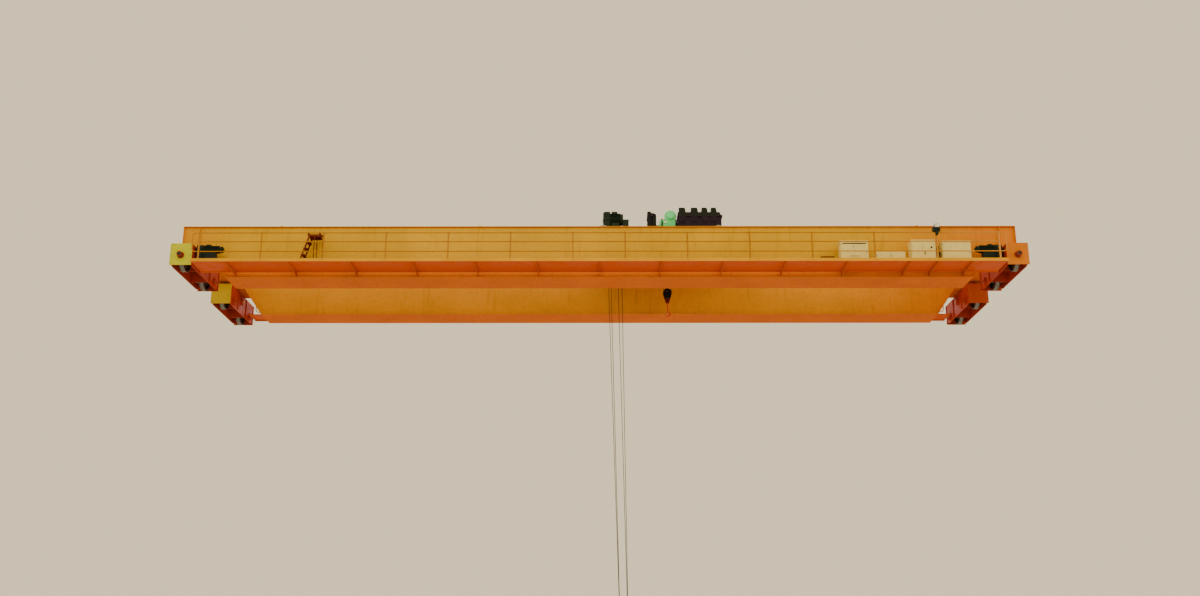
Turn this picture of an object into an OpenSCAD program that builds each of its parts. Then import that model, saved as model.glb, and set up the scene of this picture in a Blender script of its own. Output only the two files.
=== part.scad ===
/* [Span and girders] */
// Distance between the two runway rails, centre to centre
span = 28500; // [25000:100:32000]
// How far each girder reaches past the rail centre
girder_overhang = 325; // [280:5:400]
// Distance between the centre planes of the two girders
girder_pitch = 4030; // [3900:10:4400]
// Depth of a girder at mid-span, over both plates
girder_depth = 1900; // [1700:10:2100]
// Height of the girder's top over the runway rail head
girder_top = 1820; // [1700:10:1900]
// Depth of a girder over its bogie
end_depth = 870; // [600:10:900]
// Width of a girder's top and bottom plates
flange_w = 1130; // [1000:10:1200]
// Thickness of the top and bottom plates
flange_t = 20; // [12:1:30]
// Thickness of a web plate
web_t = 10; // [8:1:16]
// From a plate's edge to the web's outer face
web_inset = 75; // [60:5:90]
// Thickness of the diaphragms inside a girder
diaphragm_t = 8; // [6:1:14]
// From the runway rail to the end of the straight belly
belly_setback = 1300; // [1200:10:1500]
// Length along the span of the sloping belly
haunch_run = 700; // [600:10:750]

/* [Bogies and wheels] */
// Gap between a runway wheel's flange and the bogie's end plate
wheel_room = 45; // [30:1:120]
// Width over a bogie's side plates
bogie_w = 700; // [600:10:720]
// Thickness of a bogie's plates
bogie_plate = 20; // [16:1:25]
// Height of a bogie's lower edge over the rail head
bogie_bottom = 90; // [70:5:110]
// Height of a bogie's top over the rail head
bogie_top = 870; // [840:5:890]
// Width of a bogie's end plates
end_plate_w = 750; // [730:10:800]
// Tread diameter of a runway wheel
wheel_d = 630; // [560:10:640]
// Width of a runway wheel over its flanges
wheel_w = 150; // [130:5:170]
// Distance between the two wheels of a bogie
wheelbase = 1900; // [1850:10:2100]
// Diameter of a runway wheel's axle
axle_d = 90; // [70:5:110]
// Diameter of the pin that a bogie rocks on
rock_pin_d = 120; // [90:5:140]
// Height of the rocking pin over the rail head
rock_pin_z = 600; // [560:10:640]
// Diameter of a buffer's rubber
buffer_d = 180; // [140:5:220]

/* [Trolley rails] */
// Height of the trolley rail
rail_h = 100; // [80:5:120]
// Width of the trolley rail's head
rail_head = 65; // [50:5:70]
// Width of the trolley rail's foot
rail_foot = 110; // [90:5:120]
// Height of the stops at the ends of the trolley rails
stop_h = 350; // [330:10:380]

/* [Walkways] */
// Width of the walkway on the cabinet side
near_walk_w = 1100; // [1000:10:1200]
// Height of that walkway's floor over the rail head
near_walk_z = 130; // [100:5:145]
// Width of the walkway on the other side
far_walk_w = 800; // [700:10:900]
// Height of the other walkway's floor over the rail head
far_walk_z = 300; // [250:10:350]
// From the runway rail to the end of a walkway
walk_setback = 450; // [440:5:600]
// Thickness of the floor plate
floor_t = 8; // [5:1:12]
// Height of the toe board
toe_h = 100; // [80:5:120]
// Height of the handrail over the floor
handrail_h = 1000; // [950:10:1200]
// Outside diameter of the handrail's tubes
rail_tube = 34; // [27:1:48]
// Leg of the angle that a handrail post is cut from
post_leg = 50; // [40:5:63]
// Width of the middle bay of the handrail
middle_bay = 1770; // [1500:10:2000]
// Bays of the handrail on each side of the middle one
side_bays = 6; // [5:1:7]
// Distance between the walkway's brackets
bracket_pitch = 2100; // [1900:10:2150]

/* [Cabinets] */
// Depth of the electrical cabinets
cabinet_depth = 400; // [350:10:500]
// Gap between a cabinet's back and the girder's web
cabinet_back_gap = 200; // [150:5:300]
// Thickness of the door cabinet's sheet
sheet = 4; // [3:0.5:6]
// Width of the door cabinet
door_cabinet_w = 830; // [750:10:950]
// Height of the door cabinet
door_cabinet_h = 960; // [800:10:1100]

/* [Trolley] */
// Length of the trolley frame
trolley_len = 4650; // [4500:10:4900]
// Where the trolley's left end stands
trolley_left = -100; // [-400:10:200]
// Tread diameter of a trolley wheel
trolley_wheel_d = 350; // [320:5:360]
// Width of a trolley wheel over its flanges
trolley_wheel_w = 130; // [110:5:140]
// Diameter of the shafts that join the trolley's wheels
cross_shaft_d = 80; // [60:5:85]
// From the trolley's end to its wheels
trolley_wheel_in = 250; // [245:5:300]
// Height of the trolley's deck over the rail head
deck_z = 2160; // [2155:1:2200]
// Depth of the trolley's beams
beam_h = 400; // [300:10:420]
// Thickness of the deck plate
deck_t = 12; // [8:1:16]

/* [Main hoist] */
// Radius of the main drum at the bottom of its grooves
drum_r = 260; // [220:5:270]
// Pitch of the rope grooves
groove_pitch = 40; // [26:1:60]
// Height of the drum's axis over the deck
drum_rise = 340; // [330:5:400]
// Diameter of the main rope
main_rope_d = 22; // [16:1:26]
// Pitch diameter of the sheaves in the main hook block
main_sheave_d = 500; // [400:10:560]
// Depth of the main block's sheaves under the rail head, hook lowered
main_block_drop = 11350; // [8000:50:13000]
// Radius of the round inside of the main hook
main_bowl_r = 85; // [70:5:100]

/* [Auxiliary hoist] */
// Radius of the auxiliary drum
aux_drum_r = 160; // [130:5:200]
// Diameter of the auxiliary rope
aux_rope_d = 14; // [10:1:18]
// Pitch diameter of the sheave in the auxiliary hook block
aux_sheave_d = 300; // [240:10:340]
// Height of the auxiliary block's sheave over the rail head
aux_block_z = 550; // [0:10:600]
// Radius of the round inside of the auxiliary hook
aux_bowl_r = 60; // [40:5:65]

/* [Hidden] */

$fn = 64;
run_gap = 0.3;      // running clearance round shafts and pins
over = 1;           // how far a cutting tool passes a face
paint = "#f0b000";
amber = "#d98a00";
dark_red = "#7d1f16";
cream = "#dfd596";
machine_dark = "#1f2a24";
machine_green = "#5fd08a";
steel = "#70727a";
black = "#1b1b1d";

// Girders
girder_y = girder_pitch / 2;
girder_half = span / 2 + girder_overhang;
belly_z = girder_top - girder_depth;
end_z = girder_top - end_depth;
belly_half = span / 2 - belly_setback;
haunch_half = belly_half + haunch_run;
stiffener_t = 14;
haunch_angle = atan2(end_z - belly_z, haunch_run);
web_out = flange_w / 2 - web_inset;
web_y = girder_y + web_out;
inner_web_y = girder_y - web_out;

// Bogies
rail_x = span / 2;
axle_z = wheel_d / 2;
wheel_flange = 20;
bogie_len = wheelbase + wheel_d + 2 * (wheel_flange + wheel_room + bogie_plate);
boss_t = 60;
saddle_w = 300;
saddle_l = 240;
saddle_room = 40;
wheel_ys = [for (s = [-1, 1]) for (t = [-1, 1]) s * girder_y + t * wheelbase / 2];
gearcase_t = 200;
drive_x = bogie_w / 2 + boss_t + 5;

// Trolley rails and wheels
rail_y = inner_web_y + web_t / 2;
rail_top = girder_top + rail_h;
stop_x = rail_x - 900;
stop_t = 30;
rail_half = stop_x - 5;
trolley_right = trolley_left + trolley_len;
trolley_axle_z = rail_top + run_gap + trolley_wheel_d / 2;
beam_w = 240;
beam_y = rail_y - trolley_wheel_w / 2 - 65;
cross_w = 100;
yoke_t = 20;
yoke_reach = 230;
yoke_out = rail_y + trolley_wheel_w / 2 + 65;
yoke_low = rail_top + 40;
bumper_d = 120;
bumper_l = 90;

// Walkways and handrails
walk_half = span / 2 - walk_setback;
post_proud = 25;
edge_t = 6;
edge_drop = 30;
edge_lip = 45;
near_walk_y = -girder_y - flange_w / 2 - 10;
far_walk_y = girder_y + flange_w / 2 + 10;
post_half = walk_half - 255;
post_pitch = (post_half - middle_bay / 2) / side_bays;
post_xs = [for (s = [-1, 1]) for (i = [0:side_bays]) s * (middle_bay / 2 + i * post_pitch)];
bracket_count = floor((belly_half - 100) / bracket_pitch);
bracket_xs = [for (i = [-bracket_count:bracket_count]) i * bracket_pitch];
lamp_x = middle_bay / 2 + (side_bays - 1) * post_pitch;

// Cabinets: left edge, width and height of each plain one
cabinet_back = -web_y - cabinet_back_gap;
cabinet_front = cabinet_back - cabinet_depth;
low_box_w = 495;
low_box_gap = 10;
end_setback = 1036;
door_setback = 2243;
low_setback = 3300;
vent_setback = 4557;
steps_setback = 3410;
vent_cabinet = [walk_half - vent_setback - 952, 952, 925];
low_box = [walk_half - low_setback - 2 * low_box_w - low_box_gap, low_box_w, 520];
end_cabinet = [walk_half - end_setback - 972, 972, 920];
door_cabinet_x = walk_half - door_setback - door_cabinet_w;
steps_x = -walk_half + steps_setback;
door_gap = 5;
door_t = 25;
cabinet_frame = 30;
plinth_h = 60;
roof_lip = 25;
door_relief = 8;
knuckle_r = 8;
knuckle_out = 9;
knuckle_l = 60;
hinge_pin_r = 4;
hinge_x = door_cabinet_w / 2 - cabinet_frame - door_gap / 2;
hinge_zs = [near_walk_z + 240, near_walk_z + door_cabinet_h - 180];

// Main hoist
machine_y = -1000;
drum_y = -100;
drum_z = deck_z + drum_rise;
drum_left = trolley_left + 220;
drum_right = trolley_left + 2800;
drum_flange = 30;
drum_shaft_r = 60;
reducer_left = drum_right + 140;
reducer_l = 1600;
motor_z = deck_z + 320;
groove_depth = 9;
rope_near_y = drum_y + drum_r + groove_depth + main_rope_d / 2 + run_gap;
rope_far_y = rope_near_y + main_sheave_d;
main_hook_y = (rope_near_y + rope_far_y) / 2;
sheave_gap = 280;
main_hook_x = trolley_left + 953;
main_block_z = -main_block_drop;
drum_fall_xs = [trolley_left + 493, trolley_left + 919];
equaliser_fall_xs = [trolley_left + 395, trolley_left + 769];
equaliser_x = (equaliser_fall_xs[0] + equaliser_fall_xs[1]) / 2;
equaliser_r = (equaliser_fall_xs[1] - equaliser_fall_xs[0]) / 2;
block_side = 25;
main_head_drop = 430;
deck_left = trolley_left + 420;
main_opening = [deck_left, 50, main_hook_x + 297, 800];
stand_x = main_opening[2] + 100;

// Auxiliary hoist
aux_drum_y = 1020;
aux_drum_z = deck_z + 300;
aux_x = trolley_left + 2670;
aux_groove_depth = 7;
aux_head_drop = 410;
aux_near_y = aux_drum_y - aux_drum_r - aux_groove_depth - aux_rope_d / 2 - run_gap;
aux_anchor_y = aux_near_y - 35;
aux_fall_dx = aux_sheave_d / 2;
aux_opening = [aux_x - 220, 450, aux_x + 230, 970];
aux_drum_l = 1050;
aux_drum_left = aux_x - 570;
aux_drum_right = aux_drum_left + aux_drum_l;
aux_gear_x = aux_drum_right + 50;
aux_stand_x = aux_drum_left - 140;
aux_stand_t = 70;
aux_shaft_r = 40;

// Lower line of a girder's side view, lifted by t along its own normal
function belly(t) = let (shift = t * tan(haunch_angle / 2)) [
    [-girder_half, end_z + t], [-haunch_half + shift, end_z + t],
    [-belly_half + shift, belly_z + t], [belly_half - shift, belly_z + t],
    [haunch_half - shift, end_z + t], [girder_half, end_z + t]
];

// Height of the belly at x, lifted by t
function belly_at(x, t) = let (ax = abs(x)) t + (
    ax < belly_half ? belly_z :
    ax < haunch_half ? belly_z + (ax - belly_half) * tan(haunch_angle) : end_z);

function reversed(list) = [for (i = [len(list) - 1:-1:0]) list[i]];

// A plate in the plane of the span, from y to y + t
module side_plate(y, t, points) {
    translate([0, y + t, 0])
        rotate([90, 0, 0])
            linear_extrude(t) polygon(points);
}

// A box given by its lowest and highest corners
module span_box(low, high) {
    translate(low) cube(high - low);
}

// A cylinder along the span, centred on y and z
module x_cylinder(x0, x1, y, z, r) {
    translate([x0, y, z]) rotate([0, 90, 0]) cylinder(h = x1 - x0, r = r);
}

// A cylinder along the runway, centred on x and z
module y_cylinder(y0, y1, x, z, r) {
    translate([x, y1, z]) rotate([90, 0, 0]) cylinder(h = y1 - y0, r = r);
}

// Two webs, the end plates and the diaphragms of one girder
module girder_webs(side) {
    web_points = concat(
        belly(flange_t),
        [[girder_half, girder_top - flange_t], [-girder_half, girder_top - flange_t]]);
    diaphragm_xs = concat(bracket_xs, [-rail_x, rail_x]);
    inner_w = 2 * (web_out - web_t);
    color(paint) translate([0, side * girder_y, 0]) {
        side_plate(-web_out, web_t, web_points);
        side_plate(web_out - web_t, web_t, web_points);
        for (x = diaphragm_xs)
            span_box([x - diaphragm_t / 2, -inner_w / 2, belly_at(x, flange_t)],
                [x + diaphragm_t / 2, inner_w / 2, girder_top - flange_t]);
        for (s = [-1, 1])
            span_box([s * (girder_half - web_t / 2) - web_t / 2, -inner_w / 2, end_z + flange_t],
                [s * (girder_half - web_t / 2) + web_t / 2, inner_w / 2, girder_top - flange_t]);
        for (x = [-girder_half + stiffener_t, -rail_x + 250, rail_x - 250, girder_half - stiffener_t])
            scale([1, side, 1])
                span_box([x - stiffener_t / 2, web_out, end_z + flange_t],
                    [x + stiffener_t / 2, web_out + web_inset - 5, girder_top - flange_t]);
    }
}

// Top plate and bent bottom plate of one girder
module girder_flanges(side) {
    color(amber) translate([0, side * girder_y, 0]) {
        span_box([-girder_half, -flange_w / 2, girder_top - flange_t],
            [girder_half, flange_w / 2, girder_top]);
        side_plate(-flange_w / 2, flange_w, concat(belly(0), reversed(belly(flange_t))));
    }
}

// Hollow boxes that join the two girders over the runway rails
module end_ties() {
    tie_w = 600;
    tie_low = end_z + flange_t + 10;
    tie_high = girder_top - flange_t - 10;
    tie_wall = 10;
    color(paint)
        for (s = [-1, 1]) translate([s * (rail_x - 50), inner_web_y, 0])
            rotate([90, 0, 0]) linear_extrude(2 * inner_web_y) difference() {
                translate([-tie_w / 2, tie_low]) square([tie_w, tie_high - tie_low]);
                translate([-tie_w / 2 + tie_wall, tie_low + tie_wall])
                    square([tie_w - 2 * tie_wall, tie_high - tie_low - 2 * tie_wall]);
            }
}

// The block under a girder's end that carries the rocking pin
module bogie_saddles() {
    pad_t = 40;
    color(paint)
        for (s = [-1, 1]) for (t = [-1, 1]) translate([s * rail_x, t * girder_y, 0]) {
            span_box([-300, -250, end_z - pad_t], [300, 250, end_z]);
            rotate([90, 0, 90]) translate([0, 0, -saddle_w / 2]) linear_extrude(saddle_w) {
                translate([0, rock_pin_z]) circle(d = saddle_l);
                translate([-saddle_l / 2, rock_pin_z])
                    square([saddle_l, end_z - pad_t - rock_pin_z]);
            }
            x_cylinder(-bogie_w / 2 - boss_t - 15, bogie_w / 2 + boss_t + 15, 0, rock_pin_z,
                rock_pin_d / 2);
        }
}

// Side view of a bogie's side plate, about its own centre
module bogie_outline() {
    corner = 230;
    half = bogie_len / 2 - bogie_plate;
    hull() {
        translate([-half, bogie_top - corner]) square([2 * half, corner - bogie_plate]);
        for (s = [-1, 1]) translate([s * (half - corner), bogie_bottom + corner])
            circle(r = corner);
    }
}

// A welded wheel frame with bearing bosses, end plates and one buffer
module bogie(side, end) {
    inner = bogie_w / 2 - bogie_plate;
    inner_wall = wheelbase / 2 - wheel_d / 2 - wheel_flange - 60;
    slot = [saddle_w + 2 * saddle_room, saddle_l + 2 * saddle_room];
    rib_t = 16;
    rib_h = 30;
    color(dark_red) translate([side * rail_x, end * girder_y, 0]) {
        difference() {
            union() {
                for (s = [-1, 1])
                    translate([s * (bogie_w / 2 - bogie_plate / 2) - bogie_plate / 2, 0, 0])
                        rotate([90, 0, 90]) linear_extrude(bogie_plate) bogie_outline();
                for (s = [-1, 1]) for (t = [-1, 1])
                    x_cylinder(s < 0 ? -bogie_w / 2 - boss_t : bogie_w / 2,
                        s < 0 ? -bogie_w / 2 : bogie_w / 2 + boss_t,
                        t * wheelbase / 2, axle_z, 140);
                for (s = [-1, 1])
                    x_cylinder(s < 0 ? -bogie_w / 2 - boss_t : inner - 30,
                        s < 0 ? -inner + 30 : bogie_w / 2 + boss_t, 0, rock_pin_z, 130);
            }
            for (t = [-1, 1])
                x_cylinder(-bogie_w, bogie_w, t * wheelbase / 2, axle_z, axle_d / 2 + run_gap);
            x_cylinder(-bogie_w, bogie_w, 0, rock_pin_z, rock_pin_d / 2 + run_gap);
        }
        difference() {
            span_box([-bogie_w / 2, -bogie_len / 2 + bogie_plate, bogie_top - bogie_plate],
                [bogie_w / 2, bogie_len / 2 - bogie_plate, bogie_top]);
            span_box([-slot.x / 2, -slot.y / 2, bogie_top - bogie_plate - over],
                [slot.x / 2, slot.y / 2, bogie_top + over]);
        }
        for (t = [-1, 1])
            span_box([-inner, t * inner_wall - bogie_plate / 2, bogie_bottom + 60],
                [inner, t * inner_wall + bogie_plate / 2, bogie_top - bogie_plate]);
        for (t = [-1, 1])
            span_box([-end_plate_w / 2, t * (bogie_len - bogie_plate) / 2 - bogie_plate / 2,
                bogie_bottom], [end_plate_w / 2,
                t * (bogie_len - bogie_plate) / 2 + bogie_plate / 2, bogie_top]);
        for (s = [-1, 1]) for (t = [-1, 1]) scale([s, t, 1])
            span_box([bogie_w / 2 - over, wheelbase / 4 - rib_t / 2, bogie_bottom + 40],
                [bogie_w / 2 + rib_h, wheelbase / 4 + rib_t / 2, bogie_top - 30]);
    }
    color(black) translate([side * rail_x, end * (girder_y + bogie_len / 2), bogie_top - 430])
        rotate([-90 * end, 0, 0]) {
            cylinder(h = 15, d = buffer_d + 60);
            cylinder(h = 170, d = buffer_d);
        }
}

// Half profile of a double-flanged wheel, x out from the axis
module wheel_half(d, w, flange, hub_d, hub_w) {
    rim = 45;
    web_half = 18;
    polygon([
        [0, -hub_w / 2], [hub_d / 2, -hub_w / 2], [hub_d / 2, -web_half],
        [d / 2 - rim, -web_half], [d / 2 - rim, -w / 2], [d / 2 + flange - 6, -w / 2],
        [d / 2 + flange, -w / 2 + 12], [d / 2, -w / 2 + 25], [d / 2, w / 2 - 25],
        [d / 2 + flange, w / 2 - 12], [d / 2 + flange - 6, w / 2], [d / 2 - rim, w / 2],
        [d / 2 - rim, web_half], [hub_d / 2, web_half], [hub_d / 2, hub_w / 2],
        [0, hub_w / 2]
    ]);
}

// One runway wheel with its axle, which reaches into the gear case where it is driven
module runway_wheel(side, y) {
    axle_half = bogie_w / 2 + boss_t - 10;
    driven = y == wheel_ys[0];
    inboard = driven ? drive_x + gearcase_t - 45 : axle_half;
    hub_w = 200;
    color(steel) translate([side * rail_x, y, axle_z]) rotate([0, -90 * side, 0]) {
        rotate_extrude() wheel_half(wheel_d, wheel_w, wheel_flange, axle_d + 90, hub_w);
        translate([0, 0, -axle_half]) cylinder(h = axle_half + inboard, d = axle_d);
    }
}

// Motor body seen along its axis: a round barrel with cooling fins
module finned_outline(r, fins, fin_h) {
    circle(r = r - fin_h);
    for (i = [0:fins - 1]) rotate(i * 360 / fins)
        translate([0, -4]) square([r, 8]);
}

// Upright gear case on a bogie's inner face with its motor pointing inboard
module bogie_drive(side) {
    motor_rise = 790;
    case_low = 130;
    case_high = 165;
    motor_r = 138;
    motor_l = 480;
    cowl_l = 110;
    flange_l = 30;
    x0 = drive_x;
    y = wheel_ys[0];
    color(machine_dark) translate([side * rail_x, y, 0]) scale([-side, 1, 1]) {
        difference() {
            translate([x0, 0, 0]) rotate([90, 0, 90]) linear_extrude(gearcase_t) hull() {
                translate([0, axle_z]) circle(r = case_low);
                translate([0, motor_rise]) circle(r = case_high);
            }
            translate([x0 - over, 0, axle_z]) rotate([0, 90, 0])
                cylinder(h = gearcase_t - 30, d = axle_d + 2 * run_gap);
        }
        for (z = [axle_z, motor_rise])
            x_cylinder(x0 + gearcase_t - over, x0 + gearcase_t + flange_l, 0, z, case_low - 25);
        x_cylinder(x0 + gearcase_t + flange_l - over, x0 + gearcase_t + 2 * flange_l, 0,
            motor_rise, motor_r + 15);
        translate([x0 + gearcase_t + 2 * flange_l, 0, motor_rise]) rotate([90, 0, 90])
            linear_extrude(motor_l) finned_outline(motor_r, 22, 24);
        x_cylinder(x0 + gearcase_t + 2 * flange_l + motor_l - over,
            x0 + gearcase_t + 2 * flange_l + motor_l + cowl_l, 0, motor_rise, motor_r - 28);
        x_cylinder(x0 + gearcase_t + 2 * flange_l + motor_l + cowl_l - over,
            x0 + gearcase_t + 2 * flange_l + motor_l + cowl_l + 40, 0, motor_rise, 60);
        span_box([x0 + gearcase_t - over, -105, motor_rise - 325],
            [x0 + gearcase_t + 440, 105, motor_rise - 130]);
        span_box([x0 + gearcase_t + 90, -80, motor_rise + 90],
            [x0 + gearcase_t + 250, 80, motor_rise + 165]);
        span_box([bogie_w / 2, -110, motor_rise - 110], [x0, 110, motor_rise - 10]);
    }
}

// Crane rails on the girders' inner webs with a stop at each end
module trolley_rails() {
    color(steel) for (s = [-1, 1]) translate([0, s * rail_y, girder_top]) {
        translate([-rail_half, 0, 0]) rotate([90, 0, 90]) linear_extrude(2 * rail_half) polygon([
            [-rail_foot / 2, 0], [rail_foot / 2, 0], [rail_foot / 2, 10], [14, 26],
            [14, rail_h - 32], [rail_head / 2, rail_h - 22], [rail_head / 2, rail_h],
            [-rail_head / 2, rail_h], [-rail_head / 2, rail_h - 22], [-14, rail_h - 32],
            [-14, 26], [-rail_foot / 2, 10]
        ]);
        for (t = [-1, 1]) scale([t, 1, 1]) {
            span_box([stop_x, -70, 0], [stop_x + stop_t, 70, stop_h]);
            side_plate(-10, 20, [
                [stop_x + stop_t, 0], [stop_x + 330, 0], [stop_x + 330, 40],
                [stop_x + stop_t, stop_h - 40]
            ]);
        }
    }
}

// Floor plate, edge channel with toe board and inner edge strip of one walkway
module walkway(y0, width, z, out) {
    color(paint) translate([0, y0, 0]) scale([1, out, 1]) {
        span_box([-walk_half, 0, z - floor_t], [walk_half, width, z]);
        span_box([-walk_half, width - edge_t, z - floor_t - edge_drop],
            [walk_half, width, z + toe_h - edge_drop]);
        span_box([-walk_half, width - edge_lip, z - floor_t - edge_drop],
            [walk_half, width, z - floor_t - edge_drop + edge_t]);
        span_box([-walk_half, 0, z - floor_t - edge_drop], [walk_half, edge_t, z - floor_t]);
    }
}

module near_walkway() {
    walkway(near_walk_y, near_walk_w, near_walk_z, -1);
}

module far_walkway() {
    walkway(far_walk_y, far_walk_w, far_walk_z, 1);
}

// Sloping plates welded to the outer webs under both walkways
module walkway_brackets() {
    bracket_t = 12;
    rim = 60;
    near_top = near_walk_z - floor_t;
    far_top = far_walk_z - floor_t;
    near_reach = near_walk_w + web_inset + 10 - rim;
    far_reach = far_walk_w + web_inset + 10 - rim;
    slot = web_inset + 10 + edge_t + 4;
    drop = edge_drop + 5;
    color(dark_red) {
        for (x = concat(bracket_xs, [lamp_x])) translate([x - bracket_t / 2, -web_y, 0])
            rotate([90, 0, 90]) linear_extrude(bracket_t) polygon([
                [0, near_top], [0, belly_z + flange_t + 10],
                [-web_inset - 20, belly_z + flange_t + 10], [-near_reach, near_top - 70],
                [-near_reach, near_top], [-slot, near_top], [-slot, near_top - drop],
                [-web_inset, near_top - drop], [-web_inset, near_top]
            ]);
        for (x = bracket_xs) translate([x - bracket_t / 2, web_y, 0])
            rotate([90, 0, 90]) linear_extrude(bracket_t) polygon([
                [0, far_top], [0, belly_z + flange_t + 60],
                [web_inset + 20, belly_z + flange_t + 60], [far_reach, far_top - 70],
                [far_reach, far_top], [slot, far_top], [slot, far_top - drop],
                [web_inset, far_top - drop], [web_inset, far_top]
            ]);
    }
}

// Posts and three rails, with the ends of the top and bottom rail joined by bends
module handrail(y, z) {
    bend = 120;
    tube_r = rail_tube / 2;
    heights = [handrail_h, handrail_h * 0.68, handrail_h * 0.33];
    end_x = walk_half - tube_r;
    color(paint) translate([0, y, z]) {
        for (x = post_xs) translate([x - post_leg / 2, -post_leg / 2, 0])
            linear_extrude(handrail_h + post_proud) union() {
                square([post_leg, 5]);
                square([5, post_leg]);
            }
        for (i = [0:2]) let (reach = i == 1 ? post_half + 20 : end_x - bend)
            x_cylinder(-reach, reach, 0, heights[i], tube_r);
        for (s = [-1, 1]) scale([s, 1, 1]) {
            translate([end_x - bend, 0, heights[0] - bend]) rotate([90, 0, 0])
                rotate_extrude(angle = 90) translate([bend, 0]) circle(r = tube_r);
            translate([end_x - bend, 0, heights[2] + bend]) rotate([90, 0, 0])
                rotate([0, 0, -90]) rotate_extrude(angle = 90) translate([bend, 0]) circle(r = tube_r);
            translate([end_x, 0, heights[2] + bend])
                cylinder(h = heights[0] - heights[2] - 2 * bend, r = tube_r);
        }
    }
}

module near_handrail() {
    handrail(near_walk_y - near_walk_w + 40, near_walk_z);
}

module far_handrail() {
    handrail(far_walk_y + far_walk_w - 40, far_walk_z);
}

// A closed sheet cabinet on a low plinth, with a roof that overhangs by lip and a raised door
module plain_cabinet(x, w, h, lip) {
    roof_t = 40;
    door_in = 35;
    span_box([x + 30, cabinet_front + 30, near_walk_z], [x + w - 30, cabinet_back - 30,
        near_walk_z + plinth_h]);
    span_box([x, cabinet_front, near_walk_z + plinth_h], [x + w, cabinet_back,
        near_walk_z + h - roof_t]);
    span_box([x - lip, cabinet_front - lip, near_walk_z + h - roof_t], [x + w + lip,
        cabinet_back + lip, near_walk_z + h]);
    span_box([x + door_in, cabinet_front - door_relief, near_walk_z + plinth_h + door_in],
        [x + w - door_in, cabinet_front, near_walk_z + h - roof_t - door_in]);
}

// The vent cabinet, the pair of low boxes and the end cabinet
module cabinets() {
    vent_top = near_walk_z + vent_cabinet[2] - 85;
    slat_pitch = 45;
    color(cream) {
        difference() {
            plain_cabinet(vent_cabinet[0], vent_cabinet[1], vent_cabinet[2], roof_lip);
            span_box([vent_cabinet[0] + 60, cabinet_front - door_relief - over, vent_top - 40],
                [vent_cabinet[0] + vent_cabinet[1] - 60, cabinet_front + 30, vent_top]);
            for (i = [1:4])
                span_box([vent_cabinet[0] + 300, cabinet_front - door_relief - over,
                    near_walk_z + 180 + i * slat_pitch],
                    [vent_cabinet[0] + vent_cabinet[1] - 300, cabinet_front + 20,
                    near_walk_z + 195 + i * slat_pitch]);
        }
        for (i = [0, 1])
            plain_cabinet(low_box[0] + i * (low_box_w + low_box_gap), low_box_w, low_box[2], 0);
        plain_cabinet(end_cabinet[0], end_cabinet[1], end_cabinet[2], roof_lip);
    }
}

// A hollow cabinet, open at the front for its two doors
module door_cabinet() {
    z0 = near_walk_z + plinth_h;
    x1 = door_cabinet_x + door_cabinet_w;
    mid_x = door_cabinet_x + door_cabinet_w / 2;
    color(cream) {
        span_box([door_cabinet_x + 30, cabinet_front + 30, near_walk_z],
            [x1 - 30, cabinet_back - 30, z0]);
        difference() {
            span_box([door_cabinet_x, cabinet_front, z0], [x1, cabinet_back,
                near_walk_z + door_cabinet_h]);
            span_box([door_cabinet_x + sheet, cabinet_front + door_t + 10, z0 + sheet],
                [x1 - sheet, cabinet_back - sheet, near_walk_z + door_cabinet_h - sheet]);
            span_box([door_cabinet_x + cabinet_frame, cabinet_front - over, z0 + cabinet_frame],
                [x1 - cabinet_frame, cabinet_front + door_t + 11,
                near_walk_z + door_cabinet_h - cabinet_frame]);
        }
        for (s = [-1, 1]) for (z = hinge_zs) translate([mid_x, cabinet_front, z]) scale([s, 1, 1]) {
            translate([hinge_x, -knuckle_out, -knuckle_l])
                cylinder(h = 2 * knuckle_l, r = hinge_pin_r, $fn = 32);
            for (low = [-knuckle_l, knuckle_l / 2 + run_gap]) {
                translate([hinge_x, -knuckle_out, low])
                    cylinder(h = knuckle_l / 2 - run_gap, r = knuckle_r, $fn = 32);
                span_box([hinge_x + 3, -4, low], [hinge_x + 30, 0, low + knuckle_l / 2 - run_gap]);
            }
        }
    }
}

// One door leaf; side -1 hangs on the left edge and 1 on the right
module cabinet_door(side) {
    half_w = door_cabinet_w / 2;
    z0 = near_walk_z + plinth_h;
    leaf_w = half_w - cabinet_frame - 1.5 * door_gap;
    color(cream) translate([door_cabinet_x + half_w, cabinet_front, 0]) scale([side, 1, 1])
        difference() {
            union() {
                span_box([door_gap / 2, 0, z0 + cabinet_frame + door_gap],
                    [door_gap / 2 + leaf_w, door_t,
                    near_walk_z + door_cabinet_h - cabinet_frame - door_gap]);
                if (side > 0) {
                    span_box([25, -30, z0 + 370], [45, 0, z0 + 460]);
                    y_cylinder(-22, 0, leaf_w - 110, z0 + 610, 30);
                }
                for (z = hinge_zs) {
                    translate([hinge_x, -knuckle_out, z - knuckle_l / 2])
                        cylinder(h = knuckle_l, r = knuckle_r, $fn = 32);
                    span_box([hinge_x - 30, -4, z - knuckle_l / 2], [hinge_x - 3, 0, z + knuckle_l / 2]);
                }
            }
            for (z = hinge_zs) translate([hinge_x, -knuckle_out, z - knuckle_l])
                cylinder(h = 2 * knuckle_l, r = hinge_pin_r + run_gap, $fn = 32);
        }
}

// Work light on a handrail post: dark body, pale housing above and ballast box below
module lamp() {
    post_y = near_walk_y - near_walk_w + 40;
    z0 = near_walk_z + handrail_h + post_proud;
    color(machine_dark) translate([lamp_x, post_y, z0]) {
        span_box([-115, -90, 0], [115, 90, 140]);
        rotate([90, 0, 90]) translate([0, 0, -50]) linear_extrude(150)
            polygon([[-70, 139], [70, 139], [70, 230], [20, 270], [-70, 270]]);
        span_box([-45, -85, -130], [55, -post_leg / 2 - 5, 20]);
    }
}

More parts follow.
